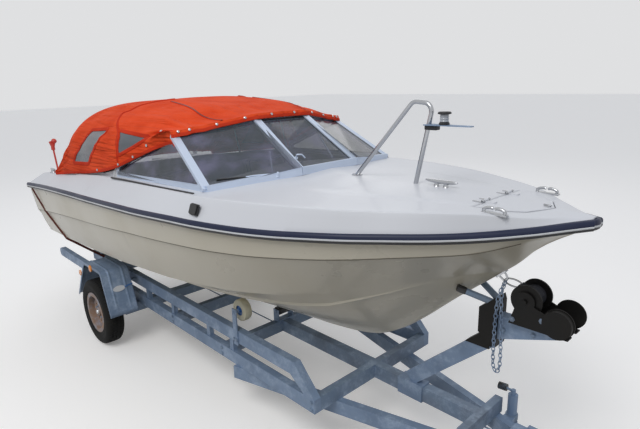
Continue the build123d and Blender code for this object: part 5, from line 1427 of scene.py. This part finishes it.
@dataclass
class Wheels:
    """Road wheels: tyres with tread, hub caps and wheel nuts; and the mudguards over them."""

    finishes: Finishes
    axle_x: float = -2.45
    track: float = 0.815
    tyre_r: float = 0.289
    blocks: int = 60
    nuts: int = 5
    nut_step: float = 1.2566
    nut_circle: float = 0.057
    guard: tuple = ((-2.85, 0.352), (-2.61, 0.715), (-2.23, 0.715), (-2.105, 0.342))
    guard_in: float = 0.64
    guard_out: float = 0.872
    frame_half: float = 0.562
    skin: float = 0.004
    bracket_x: tuple = (-2.56, -2.28)
    bracket_z: tuple = (0.56, 0.566, 0.711)
    bracket_nuts: tuple = (0.6, 0.68)
    tag: tuple = (0.05, 0.024)
    reflectors: tuple = ((-2.44, 0.694, 0.027), (-2.712, 0.588, 0.023))

    def build(self) -> None:
        """Build both sides."""
        for name, side, body in (("starboard", -1, Body.WHEEL_STARBOARD), ("port", 1, Body.WHEEL_PORT)):
            self.build_tyre(name, side, body)
            self.build_hub(name, side, body)
        self.build_guards()
        self.build_reflectors()

    def build_tyre(self, name: str, side: int, body: Body) -> None:
        """A tyre with ribs, cross grooves and raised rings on its walls.

        Formula: the profile goes round the axle; where it lies in the tread, every fifth step
        round falls back by the groove's depth, the step shifted across the tread so that the
        grooves slant.
        """
        half = np.array(
            [(0.156, 0.05), (0.16, 0.058), (0.176, 0.0635), (0.181, 0.067), (0.185, 0.0665), (0.2, 0.0715),
             (0.204, 0.0738), (0.208, 0.073), (0.228, 0.0768), (0.246, 0.0772), (0.25, 0.0775),
             (0.254, 0.0762), (0.268, 0.071), (0.279, 0.0625), (0.285, 0.055), (0.2872, 0.048), (0.288, 0.04),
             (0.2885, 0.033), (0.283, 0.0325), (0.283, 0.0285), (0.2888, 0.028), (0.289, 0.018),
             (0.289, 0.006), (0.2835, 0.0055), (0.2835, 0.001)])
        profile = np.concatenate([half, half[::-1] * np.array([1, -1]), half[:1]])
        steps = self.blocks * 5
        turn = circle(steps)
        shift = np.round(np.abs(profile[:, 1]) * 60).astype(int)[:, None]
        groove = ((np.arange(steps)[None] + shift) % 5 == 0) & (profile[:, 0] > 0.2848)[:, None]
        radius = profile[:, 0, None] - 0.005 * groove
        points = grid_of(self.axle_x + radius * np.cos(turn), side * self.track + profile[:, 1, None],
                         self.tyre_r + radius * np.sin(turn))
        Mesher(f"tyre_tread_{name}").add(points, closed=True).build(
            [self.finishes.tyre], "tyre", (f"tyre_{name}",), angle=28, body=body)

    def build_hub(self, name: str, side: int, body: Body) -> None:
        """Grease cap and five wheel nuts on the disc's outer face."""
        centre = np.array([self.axle_x, side * self.track, self.tyre_r])
        mesher = Mesher(f"hub_{name}")
        cap = [(0.0, 0.058), (0.01, 0.0575), (0.018, 0.054), (0.0215, 0.047), (0.022, 0.036), (0.027, 0.034),
               (0.027, 0.03)]
        mesher.lathe(cap, centre, (0, side, 0), 0, 32)
        nut = [(0.0, 0.04), (0.006, 0.0395), (0.0095, 0.037), (0.0105, 0.034), (0.0105, 0.018)]
        for k in range(self.nuts):
            at = self.nut_step * k + 0.3
            spot = centre + self.nut_circle * np.array([math.cos(at), 0, math.sin(at)])
            mesher.lathe(nut, spot, (0, side, 0), 1, 6)
        mesher.build([self.finishes.steel, self.finishes.rusty_zinc], "galvanised", angle=25, body=body)

    def build_guards(self) -> None:
        """Mudguards: a folded strip with rounded corners, pressed ribs and a turned-down outer lip.

        Formula: the folded outline is carried across; two ribs stand up across the width as
        raised cosines, and the outer edge turns down by the lip's depth.
        """
        mesher = Mesher("mudguard_pressings")
        outline = np.array(self.guard)
        a, b, c, d = outline
        reach = 0.045
        t = np.linspace(0, 1, 9)[:, None]

        def corner(before: Array, at: Array, after: Array) -> Array:
            """Points of a rounded fold."""
            return bend(at + unit(before - at) * reach, at, at + unit(after - at) * reach, t)

        run = np.concatenate([a + (b - a) * np.linspace(0, 0.86, 10)[:, None], corner(a, b, c),
                              b + (c - b) * np.linspace(0.15, 0.85, 8)[:, None], corner(b, c, d),
                              c + (d - c) * np.linspace(0.14, 1, 10)[:, None]])
        ahead = np.gradient(run, axis=0)
        normal = unit(np.stack([-ahead[:, 1], ahead[:, 0]], axis=1))
        width = self.guard_out - self.guard_in
        across = np.unique(np.concatenate([np.linspace(0, width - 0.006, 40), [width - 0.003]]))
        off = np.stack([across - at for at in (0.055, width - 0.062)]) / 0.01
        rib = (0.0045 * np.clip(np.cos(off * math.pi / 2), 0, 1) * (np.abs(off) < 1)).sum(axis=0)
        fade = np.clip(np.minimum(np.arange(len(run)), np.arange(len(run))[::-1]) / 4, 0, 1)[:, None]
        lift = rib * fade - self.skin * 0.5
        for side in (-1, 1):
            top = grid_of(run[:, 0, None] + normal[:, 0, None] * lift, side * (self.guard_in + across)[None],
                          run[:, 1, None] + normal[:, 1, None] * lift)
            fold = np.array([(0.0, 0.0015), (0.0, 0.006), (0.0, 0.024)])
            lip = grid_of(
                run[:, 0, None] - normal[:, 0, None] * fold[:, 1], np.full((1, 3), side * self.guard_out),
                run[:, 1, None] - normal[:, 1, None] * fold[:, 1])
            mesher.add(np.concatenate([top, lip], axis=1))
        guards = mesher.build([self.finishes.zinc], "galvanised", ("mudguards",), closed=False, angle=40)
        wall = guards.modifiers.new("wall", "SOLIDIFY")
        wall.thickness = 0.0025
        wall.offset = 0.0
        brackets = Mesher("mudguard_brackets")
        foot, sole, top = self.bracket_z
        nut = [(0.0, 0.008), (0.007, 0.008), (0.0085, 0.006), (0.0085, 0.0)]
        for side in (-1, 1):
            for x in self.bracket_x:
                wide = (x - 0.02, x + 0.02)
                ys = sorted((side * self.frame_half, side * (self.guard_in + 0.003)))
                brackets.box(wide, tuple(ys), (foot, sole), round_edge=0.002)
                ys = sorted((side * self.guard_in, side * (self.guard_in + 0.005)))
                brackets.box(wide, tuple(ys), (foot, top), round_edge=0.002)
                for z in self.bracket_nuts:
                    brackets.lathe(nut, (x, side * self.guard_in, z), (0, -side, 0), 0, 6)
        brackets.build([self.finishes.rusty_zinc], "galvanised", angle=25)
        self.build_plate()

    def build_plate(self) -> None:
        """A bare white oval tag on the starboard guard's front face, and the blue tie that holds it."""
        mesher = Mesher("guard_tag")
        run, drop, length = 0.125, 0.373, 0.3934
        slope = np.array([run, 0, -drop]) / length
        out = np.array([drop, 0, run]) / length
        fold = np.array([-2.23, -0.757, 0.715])
        middle = fold + slope * 0.172 + out * 0.003
        turn = circle(40)[:, None]
        across = np.array([0, 1.0, 0])
        wide, tall = self.tag
        ring = middle + across * wide * np.cos(turn) + slope * tall * np.sin(turn)
        mesher.prism(ring, out * 0.004)
        tie = smooth_path((middle + across * 0.046 + out * 0.006,
                           middle + across * 0.09 - slope * 0.01 + out * 0.008,
                           middle + across * 0.118 - slope * 0.012 + out * 0.004), 0.008)
        mesher.ribbon(tie, np.broadcast_to(out, tie.shape), 0.01, 0.002, 1)
        mesher.build([self.finishes.white_stripe, self.finishes.blue_plastic], "black_plastic", closed=False)

    def build_reflectors(self) -> None:
        """Round amber reflectors, each in a raised rim of the same amber, their faces stepped in rings."""
        mesher = Mesher("guard_reflectors")
        for side in (-1, 1):
            for x, z, r in self.reflectors:
                rings = np.linspace(0, r - 0.003, 6)
                face = [(a, 0.0135 - 0.0007 * (k % 2) - 9.0 * a**2) for k, a in enumerate(rings)]
                mesher.lathe(face, (x, side * self.guard_out, z), (0, side, 0), 0, 36)
                rim = [(r - 0.003, 0.0066), (r + 0.001, 0.008), (r + 0.003, 0.006), (r + 0.003, 0.0)]
                mesher.lathe(rim, (x, side * self.guard_out, z), (0, side, 0), 0, 36)
        mesher.build([self.finishes.amber], "amber_lens", ("side_reflectors",))


@dataclass
class Rollers:
    """Side rollers with blue hubs, and the jockey wheel's rolling parts."""

    finishes: Finishes
    side_rollers: tuple = (("fore", -0.75, 0.5, 0.7314), ("aft", -3.01, 0.476, 0.6131))
    jockey: tuple = (0.75, 0.235, 0.098)
    radius: float = 0.075
    half: float = 0.029
    bore: float = 0.0092

    def build(self) -> None:
        """Build each roller on its own body."""
        half, end = self.half, self.half + 0.004
        tread = mirrored([(0.034, -0.024), (0.036, -half), (0.064, -half), (0.071, -0.025), (0.0745, -0.016),
                          (self.radius, 0.0)])
        hub = mirrored([(self.bore, -end), (0.015, -end), (0.017, -0.02), (0.032, -0.018), (0.035, -0.026)])
        for name, x, y, z in self.side_rollers:
            for word, side in (("starboard", -1), ("port", 1)):
                node = f"side_roller_{name}_{word}"
                centre, axis = (x, side * y, z), (0, side, 0)
                mesher = Mesher(f"{node}_wheel").lathe(tread, centre, axis, 0, 64)
                mesher.lathe(hub, centre, axis, 1, 40)
                mesher.build([self.finishes.nylon, self.finishes.blue_plastic], "cream_roller", (node,),
                             angle=30, body=Body(node))
        tyre = mirrored([(0.055, -0.02), (0.06, -0.025), (0.086, -0.025), (0.095, -0.019), (0.098, -0.008)])
        disc = mirrored([(0.0083, -0.024), (0.018, -0.024), (0.022, -0.008), (0.05, -0.006), (0.057, -0.018)])
        mesher = Mesher("jockey_tyre").lathe(tyre, self.jockey, (0, 1, 0), 0, 64)
        mesher.lathe(disc, self.jockey, (0, 1, 0), 1, 48)
        mesher.build([self.finishes.tyre, self.finishes.rim], "tyre", ("jockey_roller",), angle=30,
                     body=Body.JOCKEY_ROLLER)


@dataclass
class WinchAndNose:
    """Winch strap, carabiner, safety chain and bow-stop caps; the jockey's grip and clamp; bolts."""

    finishes: Finishes
    drum: tuple = (0.945, 0.0, 1.166)
    wound: float = 0.05
    hook: tuple = ((0.811, 0.0, 1.218), (0.893, 0.0, 1.21))
    loop: tuple = (
        (0.812, -0.004, 1.212), (0.812, -0.04, 1.185), (0.806, -0.066, 1.11), (0.802, -0.067, 0.95),
        (0.804, -0.067, 0.81), (0.812, -0.067, 0.762), (0.824, -0.067, 0.748), (0.836, -0.067, 0.762),
        (0.842, -0.067, 0.81), (0.838, -0.067, 0.95), (0.828, -0.066, 1.11), (0.818, -0.04, 1.185),
        (0.816, -0.006, 1.214))
    pitch: float = 0.022
    link: tuple = (0.0145, 0.0085)
    wire: float = 0.0026
    stop: tuple = ((0.762, 0.03, 1.096), (0.606, 0.1, 1.15))
    grip: tuple = ((0.7045, 0.235, 0.4742), (0.7505, 0.235, 0.478))
    clamps: tuple = ((0.79, 0.235, 0.268), (0.79, 0.235, 0.315))
    beam_bolts: tuple = ((-0.943, -1.65, -3.175, -0.025), 0.562, (0.358, 0.404))
    plate_bolts: tuple = ((-0.762, -0.738, -3.022, -2.998), 0.571, (0.54,))
    cheek_bolts: tuple = ((0.89, 0.072, 1.06), (1.03, 0.072, 1.095), (0.83, 0.03, 0.965), (0.98, 0.03, 0.99))

    def build(self) -> None:
        """Build each group of small parts."""
        self.build_strap()
        self.build_chain()
        self.build_caps()
        self.build_jockey()
        self.build_bolts()

    def build_strap(self) -> None:
        """Webbing wound on the drum, its run to the carabiner, and the carabiner."""
        f = self.finishes
        turns = np.linspace(-0.048, 0.048, 30)
        layers = [(0.0345, -0.05)] + [
            (self.wound + 0.0012 * math.sin(k * 2.1), y) for k, y in enumerate(turns)] + [(0.0345, 0.05)]
        Mesher("wound_webbing").lathe(layers, self.drum, (0, 1, 0), 0, 48).build(
            [f.strap], "strap_webbing", closed=False, body=Body.DRUM)
        angle = np.linspace(-0.35, 1.2, 16)
        centre = np.array(self.drum)
        out = self.wound + 0.003
        wrap = centre + out * np.stack([np.sin(angle), 0 * angle, np.cos(angle)], axis=1)
        a, b = np.array(self.hook)
        lead = straight(b, wrap[0], 6)[:-1]
        path = np.concatenate([lead, wrap])
        normal = np.concatenate([np.tile([[-0.2, 0, 1.0]], (len(lead), 1)), (wrap - centre) / out])
        mesher = Mesher("winch_strap")
        mesher.ribbon(path, unit(normal), 0.042, 0.0022)
        eye = [(0.006, -0.026), (0.011, -0.024), (0.011, 0.024), (0.006, 0.026)]
        mesher.lathe(eye, b, (0, 1, 0), segments=20)
        mesher.build([f.strap], "strap_webbing", closed=False)
        hook = Mesher("winch_carabiner")
        turn = np.linspace(0, 2 * math.pi, 60)
        middle, along = (a + b) / 2, (b - a) / 2 * 1.08
        across = np.array([0.1, 0.55, 0.83]) * 0.017
        ring = middle + np.cos(turn)[:, None] * along + np.sin(turn)[:, None] * across
        hook.tube(ring, 0.0045, sides=12, capped=False)
        hook.build([f.steel], "stainless")

    def build_chain(self) -> None:
        """Safety chain, a hanging loop of oval links that stand square to one another.

        Formula: links sit a pitch apart along the loop; each is an oval in the plane of the
        loop's direction and a side that turns by a quarter from link to link.
        """
        loop = smooth_path(self.loop, 0.004)
        gone = lengths(loop)
        count = int(gone[-1] / self.pitch)
        at = (np.arange(count) + 0.5) * gone[-1] / count
        spot = np.stack([np.interp(at, gone, loop[:, k]) for k in range(3)], axis=1)
        ahead = unit(np.stack([np.interp(at + 0.003, gone, loop[:, k]) for k in range(3)], axis=1) - spot)
        side = unit(np.cross(ahead, np.array([0.02, 1, 0.05])))
        flat = np.cross(ahead, side)
        odd = (np.arange(count) % 2)[:, None]
        wide, deep = side * (1 - odd) + flat * odd, flat * (1 - odd) - side * odd
        phi, theta = circle(14)[:, None], circle(6)[:, None]
        long, broad = self.link
        ring = spot[:, None] + ahead[:, None] * np.cos(phi) * long + wide[:, None] * np.sin(phi) * broad
        outward = ahead[:, None] * np.cos(phi) + wide[:, None] * np.sin(phi)
        wire = self.wire * (outward[:, :, None] * np.cos(theta) + deep[:, None, None] * np.sin(theta))
        links = ring[:, :, None] + wire
        mesher = Mesher("safety_chain")
        for link in np.concatenate([links, links[:, :1]], axis=1):
            mesher.add(link, closed=True)
        mesher.build([self.finishes.zinc], "galvanised", closed=False)

    def build_caps(self) -> None:
        """Black rubber caps on the ends of the bow stop's tubes."""
        mesher = Mesher("bow_stop_caps")
        cap = [(0.0, -0.0055), (0.013, -0.004), (0.0188, 0.001), (0.0195, 0.008), (0.0195, 0.042),
               (0.018, 0.046), (0.0172, 0.046)]
        for side in (-1, 1):
            low, high = np.array(self.stop) * (1, side, 1)
            mesher.lathe(cap, high, unit(low - high), 0, 32)
        mesher.build([self.finishes.black_plastic], "black_plastic", closed=False)

    def build_jockey(self) -> None:
        """Ribbed black grip on the jockey's crank and the band of its clamp."""
        f = self.finishes
        mesher = Mesher("jockey_grip")
        start, end = np.array(self.grip)
        share = np.linspace(0, 1, 25)
        radii = 0.02 + 0.0012 * np.cos(share * 2 * math.pi * 6)
        length = float(np.linalg.norm(end - start))
        profile = [(0.0, 0.0)] + [
            (float(r), float(s * length)) for r, s in zip(radii, share)] + [(0.0, length)]
        mesher.lathe(profile, start, end - start, 0, 28)
        mesher.build([f.black_plastic], "black_plastic", closed=False)
        band = Mesher("jockey_clamp_band")
        ring = [(0.0272, -0.016), (0.0335, -0.016), (0.0345, -0.013), (0.0345, 0.013), (0.0335, 0.016),
                (0.0272, 0.016)]
        for centre in self.clamps:
            band.lathe(ring, centre, (0, 0, 1), 0, 40)
        band.build([f.rusty_zinc], "galvanised", closed=False)

    def build_bolts(self) -> None:
        """Bolt heads where beams, roller plates and winch cheeks are fixed."""
        mesher = Mesher("frame_bolts")
        head = [
            (0.0, 0.0095), (0.0075, 0.0095), (0.0105, 0.008), (0.0105, 0.003), (0.0145, 0.003), (0.0145, 0.0)]
        spots = [(x, y, z) for xs, y, zs in (self.beam_bolts, self.plate_bolts) for x in xs for z in zs]
        for side in (-1, 1):
            for x, y, z in (*spots, *self.cheek_bolts):
                mesher.lathe(head, (x, side * y, z), (0, side, 0), 0, 6)
        mesher.build([self.finishes.rusty_zinc], "galvanised", closed=False, angle=25)


@dataclass
class Seats:
    """Seat and back cushions for helm and mate, their shells, and the stern bench's cushion."""

    finishes: Finishes
    voxel: float = 0.01
    cap: float = 0.016
    pressure: float = 4.0

    def build(self) -> None:
        """Build shells and cushions; each cushion swells by simulation."""
        for name, side in (("helm", -1), ("mate", 1)):
            y = tuple(sorted((side * 0.262, side * 0.678)))
            self.build_shell(name, y)
            seat = self.pad(f"{name}_seat_cushion", (-1.56, -1.202), y, (1.15, 1.222), (f"{name}_seat",))
            back = self.pad(f"{name}_back_cushion", (-1.632, -1.566), y, (1.252, 1.548), (), lean=-0.31)
        bench = self.pad(
            "stern_bench_cushion", (-2.986, -2.634), (-0.622, 0.622), (1.13, 1.198), ("stern_seat",))

    def build_shell(self, name: str, y: tuple) -> None:
        """Moulded seat shell: a thin board under the seat and up behind the back."""
        outline = np.array([(-1.19, 1.131), (-1.612, 1.131), (-1.668, 1.24), (-1.728, 1.548), (-1.716, 1.556),
                            (-1.656, 1.25), (-1.6, 1.143), (-1.194, 1.143)])
        points = np.stack([outline[:, 0], np.full(len(outline), y[0] - 0.008), outline[:, 1]], axis=1)
        top = points + np.array([0, y[1] - y[0] + 0.016, 0])
        mesher = Mesher(f"{name}_seat_shell")
        strips = np.concatenate([points, points[:1]]), np.concatenate([top, top[:1]])
        mesher.add(np.stack(strips))
        for face in (points, top):
            mesher.add(np.stack([face[:4], face[:3:-1]]))
        mesher.build([self.finishes.lining], "cabin_lining", angle=20)

    def pad(self, name: str, x: tuple, y: tuple, z: tuple, replaces: tuple,
            lean: float = 0.0) -> bpy.types.Object:
        """A cushion: a rounded block, swelled, with piping round it.

        Args:
            name: The piece's name.
            x: Low and high x.
            y: Low and high y.
            z: Low and high z.
            replaces: CAD nodes that it stands for.
            lean: How far x moves for each metre up.

        Returns:
            The cushion.
        """
        mesher = Mesher(name).box(x, y, z, round_edge=0.022)
        block = mesher.patches[0].points
        block[..., 0] += (block[..., 2] - z[0]) * lean
        cushion = mesher.build([self.finishes.vinyl], "seat_cover", replaces, angle=80)
        self.swell(cushion)
        self.pipe_round(cushion, name, (x, y, z), lean)
        return cushion

    def swell(self, cushion: bpy.types.Object) -> None:
        """Blow the cushion up a little as cloth, keep the shape and drop the simulation."""
        scene = bpy.context.scene
        remesh = cushion.modifiers.new("even", "REMESH")
        remesh.mode = "VOXEL"
        remesh.voxel_size = self.voxel
        self.apply(cushion)
        start = self.corners(cushion.data)
        cloth = cushion.modifiers.new("swell", "CLOTH")
        cloth.settings.quality = 4
        cloth.settings.use_pressure = True
        cloth.settings.uniform_pressure_force = self.pressure
        cloth.settings.effector_weights.gravity = 0.0
        cloth.point_cache.frame_start = 1
        cloth.point_cache.frame_end = 20
        for frame_number in range(1, 21):
            scene.frame_set(frame_number)
        self.apply(cushion)
        moved = self.corners(cushion.data) - start
        far = np.linalg.norm(moved, axis=1, keepdims=True)
        moved *= np.minimum(1, self.cap / np.maximum(far, 1e-9))
        cushion.data.vertices.foreach_set("co", (start + moved).astype(np.float32).ravel())
        cushion.data.update()
        cushion.data.shade_smooth()
        scene.frame_set(1)
        smooth = cushion.modifiers.new("smooth", "SUBSURF")
        smooth.levels = 1
        smooth.render_levels = 1

    @staticmethod
    def apply(cushion: bpy.types.Object) -> None:
        """Bake the modifiers into the mesh and remove them."""
        shown = cushion.evaluated_get(bpy.context.evaluated_depsgraph_get())
        mesh = bpy.data.meshes.new_from_object(shown)
        cushion.modifiers.clear()
        cushion.data = mesh

    @staticmethod
    def corners(mesh: bpy.types.Mesh) -> Array:
        """The mesh's vertices as an array."""
        flat = np.empty(len(mesh.vertices) * 3)
        mesh.vertices.foreach_get("co", flat)
        return flat.reshape(-1, 3)

    def pipe_round(self, cushion: bpy.types.Object, name: str, block: tuple, lean: float) -> None:
        """Piping round the cushion at two levels of its sides.

        Formula: for each direction round the middle, the cushion's furthest point near that level, with
        directions that have no point filled in from their neighbours.
        """
        points = self.corners(cushion.data) + np.array([MIDDLE, 0, 0])
        (x0, x1), (y0, y1), (z0, z1) = block
        upright = (z1 - z0) > (x1 - x0)
        depth = (points[:, 0] - (points[:, 2] - z0) * lean) if upright else points[:, 2]
        low, high = (x0, x1) if upright else (z0, z1)
        across, other = (points[:, 1], points[:, 2]) if upright else (points[:, 0], points[:, 1])
        centre = ((y0 + y1) / 2, (z0 + z1) / 2) if upright else ((x0 + x1) / 2, (y0 + y1) / 2)
        mesher = Mesher(f"{name}_piping")
        bins = 72
        for share in (0.12, 0.88):
            level = low + (high - low) * share
            near = np.abs(depth - level) < 0.012
            angle = np.arctan2(other - centre[1], across - centre[0])[near]
            far = np.hypot(across - centre[0], other - centre[1])[near]
            slot = ((angle + math.pi) / (2 * math.pi) * bins).astype(int) % bins
            reach = np.zeros(bins)
            np.maximum.at(reach, slot, far)
            known = reach > 0
            turn = (np.arange(bins) + 0.5) / bins * 2 * math.pi - math.pi
            reach = np.interp(turn, turn[known], reach[known], period=2 * math.pi)
            u, v = centre[0] + reach * np.cos(turn), centre[1] + reach * np.sin(turn)
            w = np.full(bins, level)
            ring = np.stack([w + (v - z0) * lean, u, v], axis=1) if upright else np.stack([u, v, w], axis=1)
            ring = np.concatenate([ring, ring[:1]])
            mesher.tube(ring, 0.0042, 0, 8, capped=False)
        mesher.build([self.finishes.piping], "seat_cover")


@dataclass
class Cowl:
    """The outboard's powerhead cowl, a rounded shell with a seam, a latch and air slots."""

    finishes: Finishes
    steer_x: float = -3.712
    rings: tuple = (
        (1.165, -0.396, 0.024, 0.15), (1.185, -0.412, 0.034, 0.164), (1.3, -0.428, 0.042, 0.176),
        (1.4, -0.426, 0.042, 0.174), (1.48, -0.408, 0.034, 0.16), (1.525, -0.38, 0.012, 0.138),
        (1.548, -0.33, -0.03, 0.105), (1.557, -0.26, -0.1, 0.06), (1.56, -0.19, -0.16, 0.004))
    seam: tuple = (1.232, 0.004)

    def build(self) -> None:
        """Build the shell, its seam band and the latch.

        Formula: at each height a superellipse of power 3.2 about a middle that the table gives,
        its rings smoothed up the height.
        """
        table = np.array(self.rings)
        share = np.linspace(0, 1, 60)
        known = np.linspace(0, 1, len(table))
        z, aft, fore, half = (pchip(known, table[:, k], share) for k in range(4))
        turn = circle(96)
        power = 2 / 3.2
        across = np.sign(np.sin(turn)) * np.abs(np.sin(turn)) ** power
        along = np.sign(np.cos(turn)) * np.abs(np.cos(turn)) ** power
        groove = 1 - 0.02 * np.exp(-(((z - self.seam[0]) / self.seam[1]) ** 2))
        middle, reach = (aft + fore) / 2, (fore - aft) / 2 * groove
        shell = grid_of(self.steer_x + middle[:, None] + reach[:, None] * along, (half * groove)[:, None]
                        * across, z[:, None])
        mesher = Mesher("engine_cowl_shell").add(shell, closed=True)
        floor = np.stack([shell[0], np.broadcast_to(shell[0].mean(axis=0), shell[0].shape)])
        mesher.add(floor, closed=True)
        mesher.box((self.steer_x - 0.434, self.steer_x - 0.422), (-0.03, 0.03), (1.19, 1.255), 1, 0.004)
        for side in (-1, 1):
            for k in range(5):
                x = self.steer_x - 0.33 + 0.03 * k
                ys = sorted((side * 0.169, side * 0.1765))
                mesher.box((x, x + 0.016), tuple(ys), (1.395, 1.425), 1, 0.003)
        mesher.build([self.finishes.engine, self.finishes.black_plastic], "engine_paint", ("engine_cowl",),
                     angle=40, body=Body.ENGINE)


@dataclass
class CarriedNodes:
    """CAD nodes that keep their own shape and get a finish."""

    finishes: Finishes

    def build(self) -> None:
        """Assign each node its material."""
        f = self.finishes
        table = {
            f.gelcoat: ("hull",),
            f.deck_gelcoat: ("deck", "motor_well_liner", "locker_lid", "helm_consoles", "seat_bases"),
            f.lining: ("cabin_liner",),
            f.navy: ("rub_rail",),
            f.anodised: ("windscreen_frame",),
            f.glass: ("windscreen_panes",),
            f.canvas: ("hood",),
            f.steel: ("hood_bows", "bow_hoop", "cleats", "stem_eye"),
            f.amber: ("side_reflectors",),
            f.red_plastic: ("deck_staff",),
            f.webbing: ("tie_down_straps",),
            f.black_plastic: ("mast_lamp", "side_lamps", "steering_wheel", "keel_rollers"),
            f.vinyl: ("helm_seat", "mate_seat", "stern_seat"),
            f.engine: ("engine_bracket", "engine_swivel", "engine_leg", "engine_cowl", "propeller"),
            f.zinc: ("lower_rails", "upper_rails", "rail_uprights", "drawbar", "coupling", "mudguards",
                     "hull_supports", "winch_post", "winch_arm", "jockey_tube", "jockey_fork", "lamp_arms",
                     "brake_rod"),
            f.rusty_zinc: ("cross_beams", "centre_beam", "axle", "bow_stop"),
            f.rim: ("rim_starboard", "rim_port"),
            f.tyre: ("tyre_starboard", "tyre_port", "jockey_roller"),
            f.nylon: ("side_roller_fore_starboard", "side_roller_fore_port", "side_roller_aft_starboard",
                      "side_roller_aft_port"),
            f.black_steel: ("winch_head", "winch_frame", "winch_drum"),
        }
        for material, names in table.items():
            for name in names:
                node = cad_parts.get(name)
                if node is None:
                    LOG.warning("no node %s", name)
                    continue
                node.data.materials.clear()
                node.data.materials.append(material)
                LOG.info("dressed %s", name)


@dataclass
class Studio:
    """Floor, lights and the camera at the photograph's viewing angle."""

    eye: tuple = (3.1775, -2.266, 2.188)
    yaw: float = -0.812
    pitch: float = 0.256
    roll: float = -0.027
    focal_px: float = 510.154
    width_px: float = 640.0
    floor_seen: tuple = (0.98, 0.955, 0.92)
    floor_glow: tuple = (0.17, 0.165, 0.16)
    floor_bounced: tuple = (0.22, 0.205, 0.18)
    sky_seen: tuple = (0.74, 0.745, 0.755)
    sky_light: tuple = (0.47, 0.5, 0.55)

    def build(self) -> None:
        """Build the floor, the world, the lamps and the camera."""
        self.build_floor()
        self.build_world()
        self.build_lamps()
        self.build_camera()

    def seen_or_bounced(self, tree: bpy.types.NodeTree, seen: tuple, bounced: tuple) -> Socket:
        """A colour that the camera, mirrors and clear panes see, and another for diffuse light.

        Args:
            tree: Node tree of the floor or the world.
            seen: Colour for camera, glossy and transmission rays.
            bounced: Colour for all other rays.

        Returns:
            The colour's socket.
        """
        rays = tree.nodes.new("ShaderNodeLightPath")
        share = rays.outputs["Is Camera Ray"]
        for name in ("Is Glossy Ray", "Is Transmission Ray"):
            either = tree.nodes.new("ShaderNodeMath")
            either.operation = "MAXIMUM"
            tree.links.new(share, either.inputs[0])
            tree.links.new(rays.outputs[name], either.inputs[1])
            share = either.outputs[0]
        mix = tree.nodes.new("ShaderNodeMix")
        mix.data_type = "RGBA"
        tree.links.new(share, mix.inputs["Factor"])
        mix.inputs[6].default_value = (*bounced, 1)
        mix.inputs[7].default_value = (*seen, 1)
        return mix.outputs[2]

    def build_floor(self) -> None:
        """A wide pale floor that throws little light back up under the hull."""
        mesh = bpy.data.meshes.new("floor")
        size = 60.0
        mesh.from_pydata(
            [(-size, -size, 0), (size, -size, 0), (size, size, 0), (-size, size, 0)], [], [(0, 1, 2, 3)])
        floor = bpy.data.objects.new("floor", mesh)
        bpy.context.scene.collection.objects.link(floor)
        material = bpy.data.materials.new("pale_floor")
        material.use_nodes = True
        tree = material.node_tree
        shader = tree.nodes["Principled BSDF"]
        tree.links.new(
            self.seen_or_bounced(tree, self.floor_seen, self.floor_bounced), shader.inputs["Base Color"])
        tree.links.new(
            self.seen_or_bounced(tree, self.floor_glow, (0, 0, 0)), shader.inputs["Emission Color"])
        shader.inputs["Emission Strength"].default_value = 1.0
        shader.inputs["Roughness"].default_value = 0.9
        mesh.materials.append(material)

    def build_world(self) -> None:
        """Pale sky that lights softly and shows near white behind the object."""
        world = bpy.data.worlds.new("studio")
        bpy.context.scene.world = world
        world.use_nodes = True
        tree = world.node_tree
        background = tree.nodes["Background"]
        tree.links.new(self.seen_or_bounced(tree, self.sky_seen, self.sky_light), background.inputs["Color"])
        background.inputs["Strength"].default_value = 1.0

    def build_lamps(self) -> None:
        """Two large soft lamps above, one each side."""
        for name, place, aim, size, power in (
            ("key", (2.6, -5.0, 7.2), (0.0, 0, 1.0), 3.6, 260.0),
            ("fill", (-5.0, 5.0, 6.0), (-0.5, 0, 1.0), 6.0, 80.0),
        ):
            lamp = bpy.data.lights.new(name, "AREA")
            lamp.energy = power
            lamp.size = size
            holder = bpy.data.objects.new(name, lamp)
            direction = Vector(aim) - Vector(place)
            holder.rotation_euler = direction.to_track_quat("-Z", "Y").to_euler()
            holder.location = place
            bpy.context.scene.collection.objects.link(holder)

    def build_camera(self) -> None:
        """The camera, from the angles measured in the photograph."""
        yaw, pitch, roll = self.yaw, self.pitch, self.roll
        ahead = Vector((math.sin(yaw) * math.cos(pitch), math.cos(yaw) * math.cos(pitch), -math.sin(pitch)))
        right = Vector((math.cos(yaw), -math.sin(yaw), 0))
        up = right.cross(ahead)
        across = math.cos(roll) * right + math.sin(roll) * up
        above = -math.sin(roll) * right + math.cos(roll) * up
        lens = bpy.data.cameras.new("camera")
        lens.sensor_width = 36.0
        lens.lens = self.focal_px / self.width_px * lens.sensor_width
        camera = bpy.data.objects.new("camera", lens)
        turn = Matrix((across, above, -ahead)).transposed().to_4x4()
        camera.matrix_world = Matrix.Translation(self.eye) @ turn
        bpy.context.scene.collection.objects.link(camera)
        bpy.context.scene.camera = camera
        bpy.context.scene.view_settings.view_transform = "Standard"


def main() -> None:
    """Build the studio, dress the carried nodes, then build each sub-assembly."""
    logging.basicConfig(level=logging.INFO, format="%(name)s: %(message)s")
    finishes = Finishes()
    kinds = (CarriedNodes, Hull, Deck, RubRail, Hood, ScreenFittings, DeckFittings, Wheels, Rollers,
             WinchAndNose, Seats, Cowl)
    for assembly in (Studio(), *(kind(finishes) for kind in kinds)):
        assembly.build()
        LOG.info("%s is done", type(assembly).__name__)


if __name__ == "__main__":
    main()
